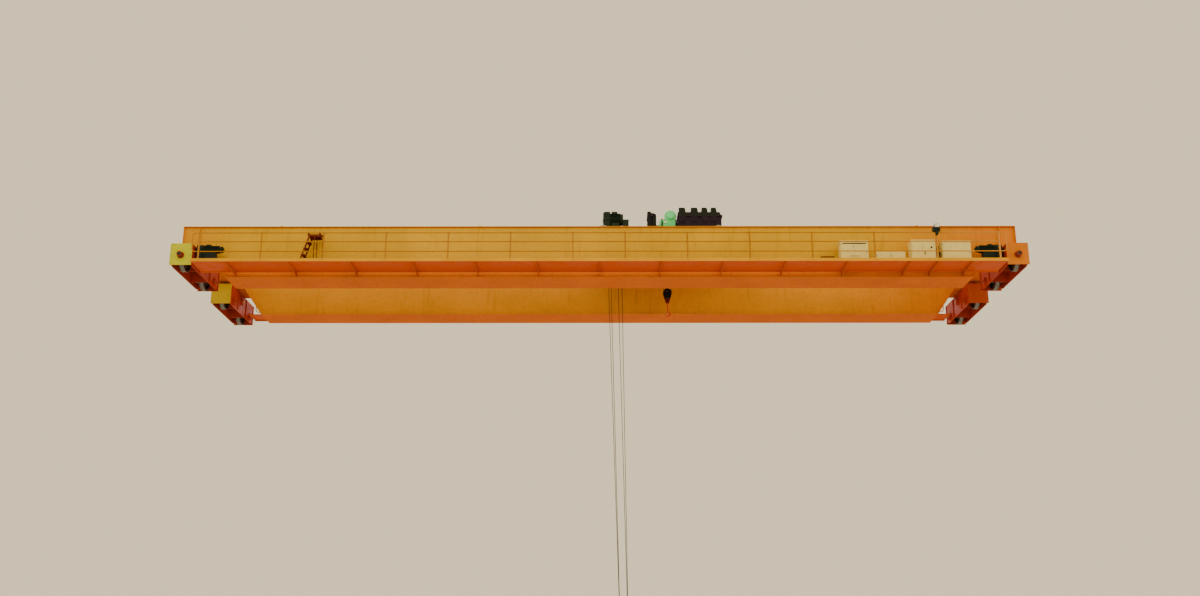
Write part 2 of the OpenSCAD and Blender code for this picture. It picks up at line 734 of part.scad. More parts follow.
// A-shaped steps that give a view over the girder's top
module access_steps() {
    top_z = 1180;
    run = 370;
    deck_l = 420;
    step_y = cabinet_front + 60;
    depth = 360;
    bar_t = 14;
    bar_w = 60;
    step_count = 4;
    deck_x = steps_x + run - 50;
    post_h = 1140;
    color(dark_red) {
        for (y = [step_y, step_y + depth - bar_t]) {
            side_plate(y, bar_t, [[steps_x, near_walk_z], [steps_x + bar_w, near_walk_z],
                [steps_x + run + bar_w, near_walk_z + top_z], [steps_x + run, near_walk_z + top_z]]);
            span_box([deck_x, y, near_walk_z + top_z - bar_w],
                [deck_x + deck_l, y + bar_t, near_walk_z + top_z]);
            span_box([deck_x + 230, y, near_walk_z], [deck_x + 230 + 30, y + bar_t, near_walk_z + top_z]);
        }
        for (i = [1:step_count])
            let (z = near_walk_z + i * top_z / (step_count + 1), x = steps_x + i * run / (step_count + 1))
            span_box([x - 30, step_y + bar_t - over, z - 10],
                [x + 110, step_y + depth - bar_t + over, z + 10]);
        span_box([deck_x, step_y, near_walk_z + top_z], [deck_x + deck_l, step_y + depth,
            near_walk_z + top_z + 20]);
        for (x = [deck_x, deck_x + deck_l - 30])
            span_box([x, step_y, near_walk_z + top_z + 19], [x + 30, step_y + depth,
                near_walk_z + top_z + 110]);
        span_box([deck_x + deck_l - over, step_y, near_walk_z + top_z - 30],
            [steps_x + 880, step_y + bar_t, near_walk_z + top_z]);
        span_box([steps_x + 850, step_y, near_walk_z], [steps_x + 880, step_y + bar_t,
            near_walk_z + post_h]);
    }
}

// Beams, deck and wheel yokes of the trolley, welded together
module trolley_frame() {
    low = deck_z - beam_h;
    cross_xs = [trolley_left, stand_x, aux_opening[0] - 250, trolley_right - cross_w];
    wheel_xs = [trolley_left + trolley_wheel_in, trolley_right - trolley_wheel_in];
    color(paint) difference() {
        union() {
            for (s = [-1, 1]) scale([1, s, 1]) {
                span_box([trolley_left, beam_y - beam_w, low], [trolley_right, beam_y, deck_z]);
                for (x = wheel_xs) {
                    for (t = [-1, 1])
                        span_box([x + t * yoke_reach - yoke_t / 2, beam_y - over, yoke_low],
                            [x + t * yoke_reach + yoke_t / 2, yoke_out, deck_z]);
                    span_box([x - yoke_reach, yoke_out, yoke_low],
                        [x + yoke_reach, yoke_out + yoke_t, deck_z + 40]);
                    y_cylinder(yoke_out + yoke_t, yoke_out + yoke_t + 30, x, trolley_axle_z, 80);
                }
                x_cylinder(trolley_left - bumper_l, trolley_left + yoke_t, rail_y,
                    yoke_low + 90, bumper_d / 2);
                x_cylinder(trolley_right - yoke_t, trolley_right + bumper_l, rail_y,
                    yoke_low + 90, bumper_d / 2);
            }
            for (x = cross_xs)
                span_box([x, -beam_y + 1, low + 50], [x + cross_w, beam_y - 1, deck_z]);
            difference() {
                span_box([deck_left, -beam_y, deck_z - deck_t],
                    [trolley_right, beam_y, deck_z]);
                span_box([main_opening[0] - over, main_opening[1], deck_z - deck_t - over],
                    [main_opening[2], main_opening[3], deck_z + over]);
                span_box([aux_opening[0], aux_opening[1], deck_z - deck_t - over],
                    [aux_opening[2], aux_opening[3], deck_z + over]);
            }
        }
        for (x = wheel_xs)
            y_cylinder(-yoke_out - 200, yoke_out + 200, x, trolley_axle_z,
                cross_shaft_d / 2 + run_gap);
    }
}

// Two trolley wheels on one cross shaft
module trolley_wheelset(x) {
    color(steel) translate([x, 0, trolley_axle_z]) rotate([90, 0, 0]) {
        for (s = [-1, 1]) translate([0, 0, s * rail_y]) rotate_extrude()
            wheel_half(trolley_wheel_d, trolley_wheel_w, 18, cross_shaft_d + 50, 150);
        translate([0, 0, -yoke_out - yoke_t - 20])
            cylinder(h = 2 * (yoke_out + yoke_t + 20), d = cross_shaft_d);
    }
}

// The two gearmotors that turn the trolley's left cross shaft, each with its brake
module trolley_drives() {
    shaft_x = trolley_left + trolley_wheel_in;
    case_x = trolley_left + 245;
    case_l = 255;
    case_w = 280;
    foot_half = 120;
    motor_r = 235;
    motor_l = 365;
    cowl_l = 100;
    brake_l = 210;
    axis_z = deck_z + 560;
    side_y = beam_y - beam_w;
    mid_y = side_y - case_w / 2;
    motor_x = case_x + case_l;
    color(machine_dark) for (s = [-1, 1]) scale([1, s, 1]) {
        difference() {
            side_plate(side_y - case_w, case_w, [
                [shaft_x - foot_half, trolley_axle_z - 120], [shaft_x + foot_half, trolley_axle_z - 120],
                [shaft_x + foot_half, deck_z], [motor_x, deck_z], [motor_x, axis_z + 265],
                [case_x + 50, axis_z + 265], [case_x, axis_z + 215], [case_x, deck_z + 200],
                [shaft_x - foot_half, deck_z]
            ]);
            y_cylinder(side_y - case_w - over, side_y + over, shaft_x, trolley_axle_z,
                cross_shaft_d / 2 + run_gap);
        }
        span_box([case_x - 15, side_y - case_w - 20, axis_z - 60],
            [motor_x + 15, side_y + 20, axis_z - 30]);
        translate([motor_x, mid_y, axis_z]) rotate([90, 0, 90])
            linear_extrude(motor_l) finned_outline(motor_r, 28, 30);
        x_cylinder(motor_x + motor_l - over, motor_x + motor_l + cowl_l, mid_y, axis_z, motor_r - 20);
        span_box([motor_x + 60, mid_y - 110, axis_z + motor_r - 60],
            [motor_x + 260, mid_y + 110, axis_z + motor_r + 35]);
        span_box([motor_x + 50, mid_y - 160, deck_z], [motor_x + motor_l - 40, mid_y + 160,
            axis_z - motor_r + 60]);
        span_box([motor_x + motor_l + cowl_l - over, mid_y - 150, deck_z],
            [motor_x + motor_l + cowl_l + brake_l, mid_y + 150, deck_z + 515]);
    }
}

// Large gear case of the main hoist: ribbed lower half, flanged cover and four cap blocks
module main_reducer() {
    x0 = reducer_left;
    x1 = x0 + reducer_l;
    near_y = machine_y - 350;
    far_y = drum_y + 350;
    split_z = deck_z + 570;
    cover_z = deck_z + 727;
    cap_z = deck_z + 926;
    lip = 35;
    lip_t = 30;
    boss_h = 30;
    shaft_xs = [x0 + 180, x0 + 620, x0 + 1000, x0 + 1320];
    color("#33232f") {
        span_box([x0, near_y, deck_z], [x1, far_y, split_z]);
        span_box([x0 - 5, near_y - lip, split_z - lip_t], [x1 + lip, far_y + lip, split_z + lip_t]);
        translate([0, far_y, 0]) rotate([90, 0, 0]) linear_extrude(far_y - near_y) polygon([
            [x0, split_z], [x1, split_z], [x1 - 60, cover_z], [x0 + 20, cover_z]
        ]);
        for (cap = [[60, 240], [500, 250], [890, 210], [1230, 200]])
            let (a = x0 + cap[0], b = x0 + cap[0] + cap[1])
            translate([0, machine_y + 150, 0]) rotate([90, 0, 0]) linear_extrude(440) polygon([
                [a, cover_z - over], [b + 15, cover_z - over], [b - 10, cap_z - 30],
                [b - 40, cap_z], [a + 15, cap_z], [a, cap_z - 15]
            ]);
        for (x = shaft_xs) {
            y_cylinder(near_y - boss_h, near_y + over, x, split_z - lip_t - 80, 125);
            y_cylinder(far_y - over, far_y + boss_h, x, split_z - lip_t - 80, 125);
            for (t = [-1, 1])
                span_box([x + t * 70 - 9, near_y - boss_h, deck_z],
                    [x + t * 70 + 9, near_y + over, split_z - lip_t]);
        }
        difference() {
            x_cylinder(x0 - boss_h, x0 + over, drum_y, drum_z, 150);
            x_cylinder(x0 - boss_h - over, x0, drum_y, drum_z, drum_shaft_r + run_gap);
        }
        span_box([x0, near_y - 45, deck_z], [x1 + 40, far_y + 45, deck_z + 50]);
    }
}

// Main hoist motor with its blower on top and the coupling to the gear case
module main_motor() {
    motor_l = 500;
    coupling_l = 90;
    cap_l = 50;
    motor_r = 250;
    x1 = reducer_left - coupling_l;
    x0 = x1 - motor_l;
    blower_x = x1 - 150;
    blower_z = motor_z + 320;
    blower_r = 215;
    color(machine_green) {
        translate([x0, machine_y, motor_z]) rotate([90, 0, 90])
            linear_extrude(motor_l) finned_outline(motor_r, 32, 22);
        x_cylinder(x0 - cap_l, x0 + over, machine_y, motor_z, motor_r - 40);
        x_cylinder(x1 - over, reducer_left, machine_y, motor_z, 110);
        x_cylinder(x1 - over, x1 + 25, machine_y, motor_z, motor_r - 30);
        y_cylinder(machine_y - 170, machine_y + 170, blower_x, blower_z, blower_r);
        y_cylinder(machine_y - 250, machine_y - 170 + over, blower_x, blower_z, blower_r - 90);
        span_box([blower_x - blower_r + 60, machine_y - 170, motor_z],
            [blower_x + blower_r - 60, machine_y + 170, blower_z]);
        span_box([x0 + 30, machine_y + 120, motor_z], [x0 + 210, machine_y + 330, motor_z + 170]);
        for (x = [x0 + 40, x1 - 140])
            span_box([x, machine_y - 280, deck_z], [x + 100, machine_y + 280, motor_z - 120]);
    }
}

// Drum brake on the motor's tail shaft: wheel, two shoes on arms, tie rod and thruster
module main_brake() {
    wheel_x = reducer_left - 930;
    wheel_r = 200;
    arm_y = wheel_r + 5;
    arm_t = 50;
    top_z = deck_z + 640;
    thruster_r = 80;
    color(black) {
        x_cylinder(wheel_x - 110, reducer_left - 640, machine_y, motor_z, 35);
        x_cylinder(wheel_x - 60, wheel_x + 60, machine_y, motor_z, wheel_r);
        x_cylinder(wheel_x + 60 - over, wheel_x + 130, machine_y, motor_z, 80);
        for (s = [-1, 1]) translate([0, machine_y, 0]) scale([1, s, 1]) {
            span_box([wheel_x - 45, arm_y, deck_z + 30], [wheel_x + 45, arm_y + arm_t, top_z]);
            span_box([wheel_x - 55, wheel_r - 50, motor_z - 110],
                [wheel_x + 55, arm_y + over, motor_z + 110]);
        }
        y_cylinder(machine_y - arm_y - arm_t - 40, machine_y + arm_y + arm_t + 40, wheel_x,
            top_z - 40, 18);
        translate([wheel_x - 90, machine_y - arm_y - arm_t / 2, deck_z + 29])
            cylinder(h = 630, r = thruster_r);
        translate([wheel_x + 90, machine_y - arm_y - arm_t / 2, deck_z + 29])
            cylinder(h = 560, r = thruster_r);
        side_plate(machine_y - arm_y - arm_t, 2 * arm_y + 2 * arm_t, [
            [wheel_x - 170, top_z - 20], [wheel_x + 170, top_z - 20], [wheel_x + 150, top_z + 50],
            [wheel_x + 60, top_z + 90], [wheel_x - 150, top_z + 90]
        ]);
        translate([wheel_x - 80, machine_y - 60, top_z + 89]) cylinder(h = 115, r = 75);
        span_box([wheel_x - 175, machine_y - 350, deck_z], [wheel_x + 175, machine_y + 350, deck_z + 30]);
    }
}

// Outboard bearing of the main drum, equaliser sheave and auxiliary rope anchor
module rope_supports() {
    bar_t = 15;
    bar_gap = 60;
    pad_x = trolley_left;
    color(dark_red) {
        difference() {
            union() {
                span_box([pad_x, drum_y - 170, deck_z], [pad_x + cross_w, drum_y + 170, drum_z]);
                x_cylinder(pad_x, pad_x + cross_w, drum_y, drum_z, 130);
                span_box([pad_x, drum_y - 200, drum_z - 20], [pad_x + cross_w, drum_y + 200, drum_z + 20]);
            }
            x_cylinder(pad_x - over, pad_x + cross_w + over, drum_y, drum_z, drum_shaft_r + run_gap);
        }
        for (s = [-1, 1]) translate([0, rope_far_y + s * (bar_gap + bar_t) / 2 - bar_t / 2, 0])
            span_box([pad_x, 0, deck_z], [stand_x + cross_w, bar_t, drum_z + 60]);
        y_cylinder(rope_far_y - bar_gap / 2 - 1, rope_far_y + bar_gap / 2 + 1, equaliser_x, drum_z, 25);
        translate([equaliser_x, rope_far_y, drum_z]) rotate([90, 0, 0])
            sheave(equaliser_r, main_rope_d, 24);
        span_box([aux_opening[2], aux_anchor_y - 25, deck_z],
            [aux_opening[2] + 60, aux_anchor_y + 25, aux_drum_z + 50]);
        span_box([aux_x + aux_fall_dx - 40, aux_anchor_y - 25, aux_drum_z],
            [aux_opening[2] + over, aux_anchor_y + 25, aux_drum_z + 50]);
    }
}

// Grooved barrel with its end flanges, turned about the span's direction
module grooved_drum(x0, x1, y, z, r, pitch, depth, flange, shaft_r, shaft0, shaft1) {
    count = floor((x1 - x0 - 2 * flange) / pitch);
    start = (x1 - x0 - count * pitch) / 2;
    grooves = [for (i = [0:count - 1]) each [
        [r + depth, start + i * pitch], [r, start + (i + 0.5) * pitch]]];
    translate([x0, y, z]) rotate([90, 0, 90]) rotate_extrude()
        polygon(concat(
            [[0, 0], [r + 3 * depth, 0], [r + 3 * depth, flange], [r + depth, flange]],
            grooves,
            [[r + depth, start + count * pitch], [r + depth, x1 - x0 - flange],
            [r + 3 * depth, x1 - x0 - flange], [r + 3 * depth, x1 - x0], [0, x1 - x0]]));
    x_cylinder(shaft0, shaft1, y, z, shaft_r);
}

module main_drum() {
    color(steel)
        grooved_drum(drum_left, drum_right, drum_y, drum_z, drum_r, groove_pitch, groove_depth, drum_flange,
            drum_shaft_r, trolley_left + 5, reducer_left - run_gap);
}

// A straight rope between two points
module rope(a, b, d) {
    v = b - a;
    translate(a) rotate([0, acos(v.z / norm(v)), atan2(v.y, v.x)]) cylinder(h = norm(v), d = d);
}

// Four falls between the drum or equaliser and the hook block
module main_ropes() {
    color(steel) for (i = [0, 1]) let (x = main_hook_x + (i - 0.5) * sheave_gap) {
        rope([drum_fall_xs[i], rope_near_y, drum_z], [x, rope_near_y, main_block_z], main_rope_d);
        rope([equaliser_fall_xs[i], rope_far_y, drum_z],
            [x, rope_far_y, main_block_z], main_rope_d);
    }
}

// A grooved wheel about Z for a rope on the given pitch radius
module sheave(pitch_r, rope_d, bore_r) {
    half_w = 1.2 * rope_d;
    bottom_half = 0.45 * rope_d;
    rim_r = pitch_r + 0.55 * rope_d;
    bottom_r = pitch_r - rope_d / 2 - run_gap;
    rotate_extrude() polygon([
        [bore_r, -half_w], [rim_r, -half_w], [bottom_r, -bottom_half], [bottom_r, bottom_half],
        [rim_r, half_w], [bore_r, half_w]
    ]);
}

// Sheaves between cheek plates, over the crosshead that holds the hook
module hook_block(x, y, z, turn, sheave_d, rope_d, sheave_xs, room, cheek, cheek_r, head_z, head_w,
        neck_r, pin_r) {
    half_w = sheave_xs[len(sheave_xs) - 1] + rope_d + room;
    translate([x, y, z]) rotate([0, 0, turn]) {
        for (sx = sheave_xs) translate([sx, 0, 0]) rotate([0, 90, 0])
            sheave(sheave_d / 2, rope_d, pin_r - over);
        for (s = [-1, 1]) translate([s > 0 ? half_w : -half_w - cheek, 0, 0])
            rotate([90, 0, 90]) linear_extrude(cheek) hull() {
                circle(r = cheek_r);
                translate([-head_w / 2, head_z]) square([head_w, 60]);
            }
        x_cylinder(-half_w - cheek - 15, half_w + cheek + 15, 0, 0, pin_r);
        difference() {
            span_box([-half_w, -head_w / 2, head_z], [half_w, head_w / 2, head_z + 60]);
            translate([0, 0, head_z - over]) cylinder(h = 60 + 2 * over, r = neck_r + run_gap);
        }
    }
}

module main_block() {
    color(dark_red)
        hook_block(main_hook_x, main_hook_y, main_block_z, 0, main_sheave_d, main_rope_d,
            [-sheave_gap / 2, sheave_gap / 2], 22, block_side, 215, -main_head_drop, 220, 55, 50);
}

// Point and thickness along a forged hook, t from the neck (0) to the tip (1)
function hook_point(bowl, t) =
    let (r = bowl * (1.45 - 0.15 * t), a = 90 - 285 * t)
    [r * cos(a), r * sin(a)];
function hook_thick(bowl, t) = bowl * (0.42 + 0.30 * sin(180 * min(1, t * 1.25)) - 0.22 * t * t);

// A forged single hook under a round shank with a nut on top
module hook(x, y, z_head, bowl, shank_r, drop) {
    steps = 14;
    translate([x, y, z_head]) {
        translate([0, 0, 60 + run_gap]) cylinder(h = 70, r = shank_r * 1.7, $fn = 6);
        translate([0, 0, -drop + 1.2 * bowl]) cylinder(h = drop - 1.2 * bowl + 70, r = shank_r);
        translate([0, 0, -drop]) for (i = [0:steps - 1]) hull() {
            for (t = [i / steps, (i + 1) / steps]) let (p = hook_point(bowl, t))
                translate([p.x, 0, p.y]) scale([1, 0.75, 1]) sphere(r = hook_thick(bowl, t), $fn = 16);
        }
    }
}

module main_hook() {
    color("#b8331d")
        hook(main_hook_x, main_hook_y, main_block_z - main_head_drop, main_bowl_r, 50, 330);
}

// Gear case and motor that turn the auxiliary drum
module aux_hoist() {
    case_l = 350;
    case_w = 360;
    motor_l = 560;
    motor_r = 170;
    x0 = aux_gear_x;
    x1 = x0 + case_l;
    color(machine_green) {
        span_box([x0, aux_drum_y - case_w / 2, deck_z],
            [x1, aux_drum_y + case_w / 2, aux_drum_z + 150]);
        span_box([x0 - 8, aux_drum_y - case_w / 2 - 20, aux_drum_z - 15],
            [x1 + 20, aux_drum_y + case_w / 2 + 20, aux_drum_z + 15]);
        y_cylinder(aux_drum_y - case_w / 2 - 30, aux_drum_y + case_w / 2 + 30, x0 + case_l / 2,
            aux_drum_z, 110);
        span_box([x0 + 60, aux_drum_y - 90, aux_drum_z + 149], [x1 - 60, aux_drum_y + 90,
            aux_drum_z + 200]);
        translate([x1, aux_drum_y, aux_drum_z]) rotate([90, 0, 90])
            linear_extrude(motor_l) finned_outline(motor_r, 24, 22);
        x_cylinder(x1 + motor_l - over, x1 + motor_l + 90, aux_drum_y, aux_drum_z, motor_r - 15);
        span_box([x1 + 150, aux_drum_y - 90, aux_drum_z + 120], [x1 + 350, aux_drum_y + 90,
            aux_drum_z + 230]);
        span_box([x1 + 50, aux_drum_y - 130, deck_z], [x1 + motor_l, aux_drum_y + 130, deck_z + 160]);
        difference() {
            union() {
                span_box([aux_stand_x, aux_drum_y - 100, deck_z],
                    [aux_stand_x + aux_stand_t, aux_drum_y + 100, aux_drum_z]);
                x_cylinder(aux_stand_x, aux_stand_x + aux_stand_t, aux_drum_y, aux_drum_z, 100);
                span_box([aux_stand_x - 40, aux_drum_y - 150, deck_z],
                    [aux_stand_x + aux_stand_t + 30, aux_drum_y + 150, deck_z + 25]);
            }
            x_cylinder(aux_stand_x - 10, aux_stand_x + aux_stand_t + 10, aux_drum_y, aux_drum_z,
                aux_shaft_r + run_gap);
        }
    }
}

module aux_drum() {
    color(steel)
        grooved_drum(aux_drum_left, aux_drum_right, aux_drum_y, aux_drum_z, aux_drum_r, 30,
            aux_groove_depth, 20, aux_shaft_r, aux_stand_x + 5, aux_gear_x - 8 - run_gap);
}

module aux_ropes() {
    color(steel) {
        rope([aux_x - aux_fall_dx, aux_near_y, aux_drum_z],
            [aux_x - aux_fall_dx, aux_near_y, aux_block_z], aux_rope_d);
        rope([aux_x + aux_fall_dx, aux_anchor_y, aux_drum_z - run_gap],
            [aux_x + aux_fall_dx, aux_near_y, aux_block_z], aux_rope_d);
    }
}

module aux_block() {
    color(black)
        hook_block(aux_x, aux_near_y, aux_block_z, 90, aux_sheave_d, aux_rope_d,
            [0], 40, 12, aux_sheave_d / 2 + 15, -aux_head_drop, 110, 32, 30);
}

module aux_hook() {
    color("#c8401c")
        hook(aux_x, aux_near_y, aux_block_z - aux_head_drop, aux_bowl_r, 28, 440);
}

girder_webs(-1);  // near_girder_webs
girder_flanges(-1);  // near_girder_flanges
girder_webs(1);  // far_girder_webs
girder_flanges(1);  // far_girder_flanges
end_ties();
bogie_saddles();
trolley_rails();
near_walkway();
far_walkway();
walkway_brackets();
near_handrail();
far_handrail();
cabinets();
door_cabinet();
cabinet_door(-1);  // cabinet_door_left
cabinet_door(1);  // cabinet_door_right
lamp();
access_steps();
bogie(-1, -1);  // bogie_left_near
bogie(-1, 1);  // bogie_left_far
bogie(1, -1);  // bogie_right_near
bogie(1, 1);  // bogie_right_far
runway_wheel(-1, wheel_ys[0]);  // wheel_left_1
runway_wheel(-1, wheel_ys[1]);  // wheel_left_2
runway_wheel(-1, wheel_ys[2]);  // wheel_left_3
runway_wheel(-1, wheel_ys[3]);  // wheel_left_4
runway_wheel(1, wheel_ys[0]);  // wheel_right_1
runway_wheel(1, wheel_ys[1]);  // wheel_right_2
runway_wheel(1, wheel_ys[2]);  // wheel_right_3
runway_wheel(1, wheel_ys[3]);  // wheel_right_4
bogie_drive(-1);  // drive_left
bogie_drive(1);  // drive_right
trolley_frame();
trolley_wheelset(trolley_left + trolley_wheel_in);  // trolley_wheels_left
trolley_wheelset(trolley_right - trolley_wheel_in);  // trolley_wheels_right
trolley_drives();
main_reducer();
main_motor();
main_brake();
rope_supports();
main_drum();
main_ropes();
main_block();
main_hook();
aux_hoist();
aux_drum();
aux_ropes();
aux_block();
aux_hook();
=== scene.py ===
import math
from itertools import product

import bpy
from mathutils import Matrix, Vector


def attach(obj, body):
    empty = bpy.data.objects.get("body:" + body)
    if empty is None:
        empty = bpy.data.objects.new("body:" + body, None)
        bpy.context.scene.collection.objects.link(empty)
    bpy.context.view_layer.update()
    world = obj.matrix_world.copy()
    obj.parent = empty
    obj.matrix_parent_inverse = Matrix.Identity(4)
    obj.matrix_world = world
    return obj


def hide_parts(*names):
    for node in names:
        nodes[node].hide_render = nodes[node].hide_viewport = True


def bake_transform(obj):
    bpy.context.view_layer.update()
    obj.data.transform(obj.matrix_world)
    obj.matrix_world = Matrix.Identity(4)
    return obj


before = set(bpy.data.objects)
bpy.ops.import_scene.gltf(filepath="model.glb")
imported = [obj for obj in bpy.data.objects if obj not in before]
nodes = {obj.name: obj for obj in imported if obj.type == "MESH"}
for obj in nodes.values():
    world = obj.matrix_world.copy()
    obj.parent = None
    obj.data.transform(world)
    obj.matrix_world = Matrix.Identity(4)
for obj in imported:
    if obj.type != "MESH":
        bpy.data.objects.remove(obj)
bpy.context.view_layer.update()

# sizes, in metres
GIRDER_Y = 2.015
GIRDER_HALF = 14.575
GIRDER_TOP = 1.82
BELLY_Z = -0.08
END_Z = 0.95
BELLY_HALF = 12.95
HAUNCH_HALF = 13.65
WEB_OFF = 0.49
RAIL_X = 14.25
RAIL_Y = 1.53
WHEELBASE = 1.9
AXLE_Z = 0.315
PIN_Z = 0.6
BOGIE_HALF_W = 0.35
DECK_Z = 2.16
TROLLEY_LEFT = -0.1
TROLLEY_RIGHT = 4.55
END_PLATE = 1.35                    # from a bogie's pin to its end plates
MAIN_AT, MAIN_SHEAVE_Z = (0.853, 0.4303), -11.35
AUX_AT, AUX_SHEAVE_Z = (2.57, 0.8457), 0.55
MAIN_ROPE_R, AUX_ROPE_R = 0.011, 0.007

UP, SPAN, RUNWAY = (0, 0, 1), (1, 0, 0), (0, 1, 0)
SHARP = math.radians(35)            # edges sharper than this aren't shaded smooth
SIDES = ((-1, "left"), (1, "right"))
CORNERS = [(s, side, e, end) for s, side in SIDES for e, end in ((-1, "near"), (1, "far"))]


# mesh making
def frame_of(axis):
    """Two unit vectors square to axis."""
    axis = Vector(axis).normalized()
    helper = Vector((0, 0, 1)) if abs(axis.z) < 0.9 else Vector((1, 0, 0))
    u = axis.cross(helper).normalized()
    return u, axis.cross(u).normalized(), axis


class Piece:
    """Collects simple forms into one mesh that rides on one body."""

    def __init__(self, name, body, material, slot=None):
        self.name, self.body, self.material, self.slot = name, body, material, slot
        self.verts, self.faces = [], []

    def add(self, verts, faces):
        base = len(self.verts)
        self.verts += [tuple(v) for v in verts]
        self.faces += [tuple(base + i for i in f) for f in faces]

    def slab(self, lo, hi, chamfer=0.003):
        """A box whose twelve edges are chamfered."""
        lo, hi = [min(a, b) for a, b in zip(lo, hi)], [max(a, b) for a, b in zip(lo, hi)]
        c = min(chamfer, *[(b - a) * 0.45 for a, b in zip(lo, hi)])     # less than half a side
        verts, index = [], {}
        for corner in product((0, 1), repeat=3):
            at = [(lo, hi)[i][k] for k, i in enumerate(corner)]
            for k in range(3):
                index[(*corner, k)] = len(verts)
                verts.append([at[j] + (0 if j == k else (c, -c)[corner[j]]) for j in range(3)])
        faces = []
        for k in range(3):
            a, b = [j for j in range(3) if j != k]
            for side in (0, 1):
                loop = []
                for ia, ib in ((0, 0), (1, 0), (1, 1), (0, 1)):
                    key = [0, 0, 0]
                    key[k], key[a], key[b] = side, ia, ib
                    loop.append(index[(*key, k)])
                faces.append(loop if (side == 1) == (k != 1) else loop[::-1])
        for k in range(3):
            a, b = [j for j in range(3) if j != k]
            for ia, ib in product((0, 1), repeat=2):
                ends = []
                for e in (0, 1):
                    key = [0, 0, 0]
                    key[k], key[a], key[b] = e, ia, ib
                    ends.append((index[(*key, a)], index[(*key, b)]))
                quad = [*ends[0], *ends[1][::-1]]
                faces.append(quad if (ia != ib) == (k != 1) else quad[::-1])
        for corner in product((0, 1), repeat=3):
            tri = [index[(*corner, k)] for k in range(3)]
            faces.append(tri if sum(corner) % 2 == 1 else tri[::-1])
        self.add(verts, faces)

    def cyl(self, p, q, r, n=20, r2=None, chamfer=0.0):
        """A cylinder or cone between two points, its rims chamfered where asked."""
        p, q = Vector(p), Vector(q)
        u, v, axis = frame_of(q - p)
        r2 = r if r2 is None else r2
        length = (q - p).length
        rings = [(0, r - chamfer), (chamfer, r), (length - chamfer, r2), (length, r2 - chamfer)]
        if not chamfer:
            rings = [(0, r), (length, r2)]
        verts, faces = [], []
        for h, radius in rings:
            for i in range(n):
                a = 2 * math.pi * i / n
                verts.append(p + axis * h + (u * math.cos(a) + v * math.sin(a)) * radius)
        for k in range(len(rings) - 1):
            for i in range(n):
                j = (i + 1) % n
                faces.append((k * n + i, k * n + j, (k + 1) * n + j, (k + 1) * n + i))
        faces.append(tuple(range(n))[::-1])
        last = (len(rings) - 1) * n
        faces.append(tuple(range(last, last + n)))
        self.add(verts, faces)

    def tube(self, points, r, n=8, closed=False):
        """A round bar along a list of points."""
        points = [Vector(p) for p in points]
        count = len(points)
        verts, faces = [], []
        u = None
        for i, p in enumerate(points):
            if closed:
                t = points[(i + 1) % count] - points[i - 1]
            else:
                t = points[min(i + 1, count - 1)] - points[max(i - 1, 0)]
            t.normalize()
            if u is None:
                u = frame_of(t)[0]
            u = (u - t * u.dot(t)).normalized()
            v = t.cross(u)
            for k in range(n):
                a = 2 * math.pi * k / n
                verts.append(p + (u * math.cos(a) + v * math.sin(a)) * r)
        for i in range(count if closed else count - 1):
            a, b = i * n, (i + 1) % count * n
            for k in range(n):
                j = (k + 1) % n
                faces.append((a + k, a + j, b + j, b + k))
        if not closed:
            faces.append(tuple(range(n))[::-1])
            faces.append(tuple(range((count - 1) * n, count * n)))
        self.add(verts, faces)

    def ring(self, centre, axis, radius, r, turns=32, n=8):
        """A torus about axis."""
        u, v, _ = frame_of(axis)
        c = Vector(centre)
        self.tube([c + (u * math.cos(a) + v * math.sin(a)) * radius
                   for a in [2 * math.pi * i / turns for i in range(turns)]], r, n, closed=True)

    def disc_ring(self, centre, axis, r_in, r_out, t, n=28):
        """A flat washer standing t proud of centre along axis."""
        u, v, axis = frame_of(axis)
        c = Vector(centre)
        verts, faces = [], []
        for i in range(n):
            a = 2 * math.pi * i / n
            d = u * math.cos(a) + v * math.sin(a)
            verts += [c + d * r_in, c + d * r_out, c + d * r_out + axis * t, c + d * r_in + axis * t]
        for i in range(n):
            a, b = i * 4, (i + 1) % n * 4
            for k in range(4):
                j = (k + 1) % 4
                faces.append((a + k, b + k, b + j, a + j))
        self.add(verts, faces)

    def bolt(self, p, axis, d=0.016, washer=True):
        """A hexagon head on a washer, standing on p and pointing along axis."""
        u, v, axis = frame_of(axis)
        p = Vector(p)
        if washer:
            self.cyl(p, p + axis * d * 0.18, d * 1.05, 12)
            p = p + axis * d * 0.18
        r = d * 0.9
        base = [p + (u * math.cos(a) + v * math.sin(a)) * r
                for a in [math.pi * i / 3 + 0.3 for i in range(6)]]
        top = [q + axis * d * 0.55 for q in base]
        crown = [p + axis * d * 0.65 + (q - p) * 0.8 for q in base]
        faces = [(i, (i + 1) % 6, 6 + (i + 1) % 6, 6 + i) for i in range(6)]
        faces += [(6 + i, 6 + (i + 1) % 6, 12 + (i + 1) % 6, 12 + i) for i in range(6)]
        faces += [tuple(range(12, 18)), tuple(range(6))[::-1]]
        self.add(base + top + crown, faces)

    def bolts(self, xs, ys, zs, axis, d=0.016, washer=True):
        """A bolt at each place where the rows cross."""
        for x in xs:
            for y in ys:
                for z in zs:
                    self.bolt((x, y, z), axis, d, washer)

    def rings(self, centre, axis, radius, step, count, r):
        """Rings about one centre, as the bars of a guard."""
        for k in range(count):
            self.ring(centre, axis, radius + k * step, r, 28, 6)

    def bolt_circle(self, centre, axis, radius, count, d=0.016, start=0.0):
        u, v, axis = frame_of(axis)
        for i in range(count):
            a = start + 2 * math.pi * i / count
            self.bolt(Vector(centre) + (u * math.cos(a) + v * math.sin(a)) * radius, axis, d)

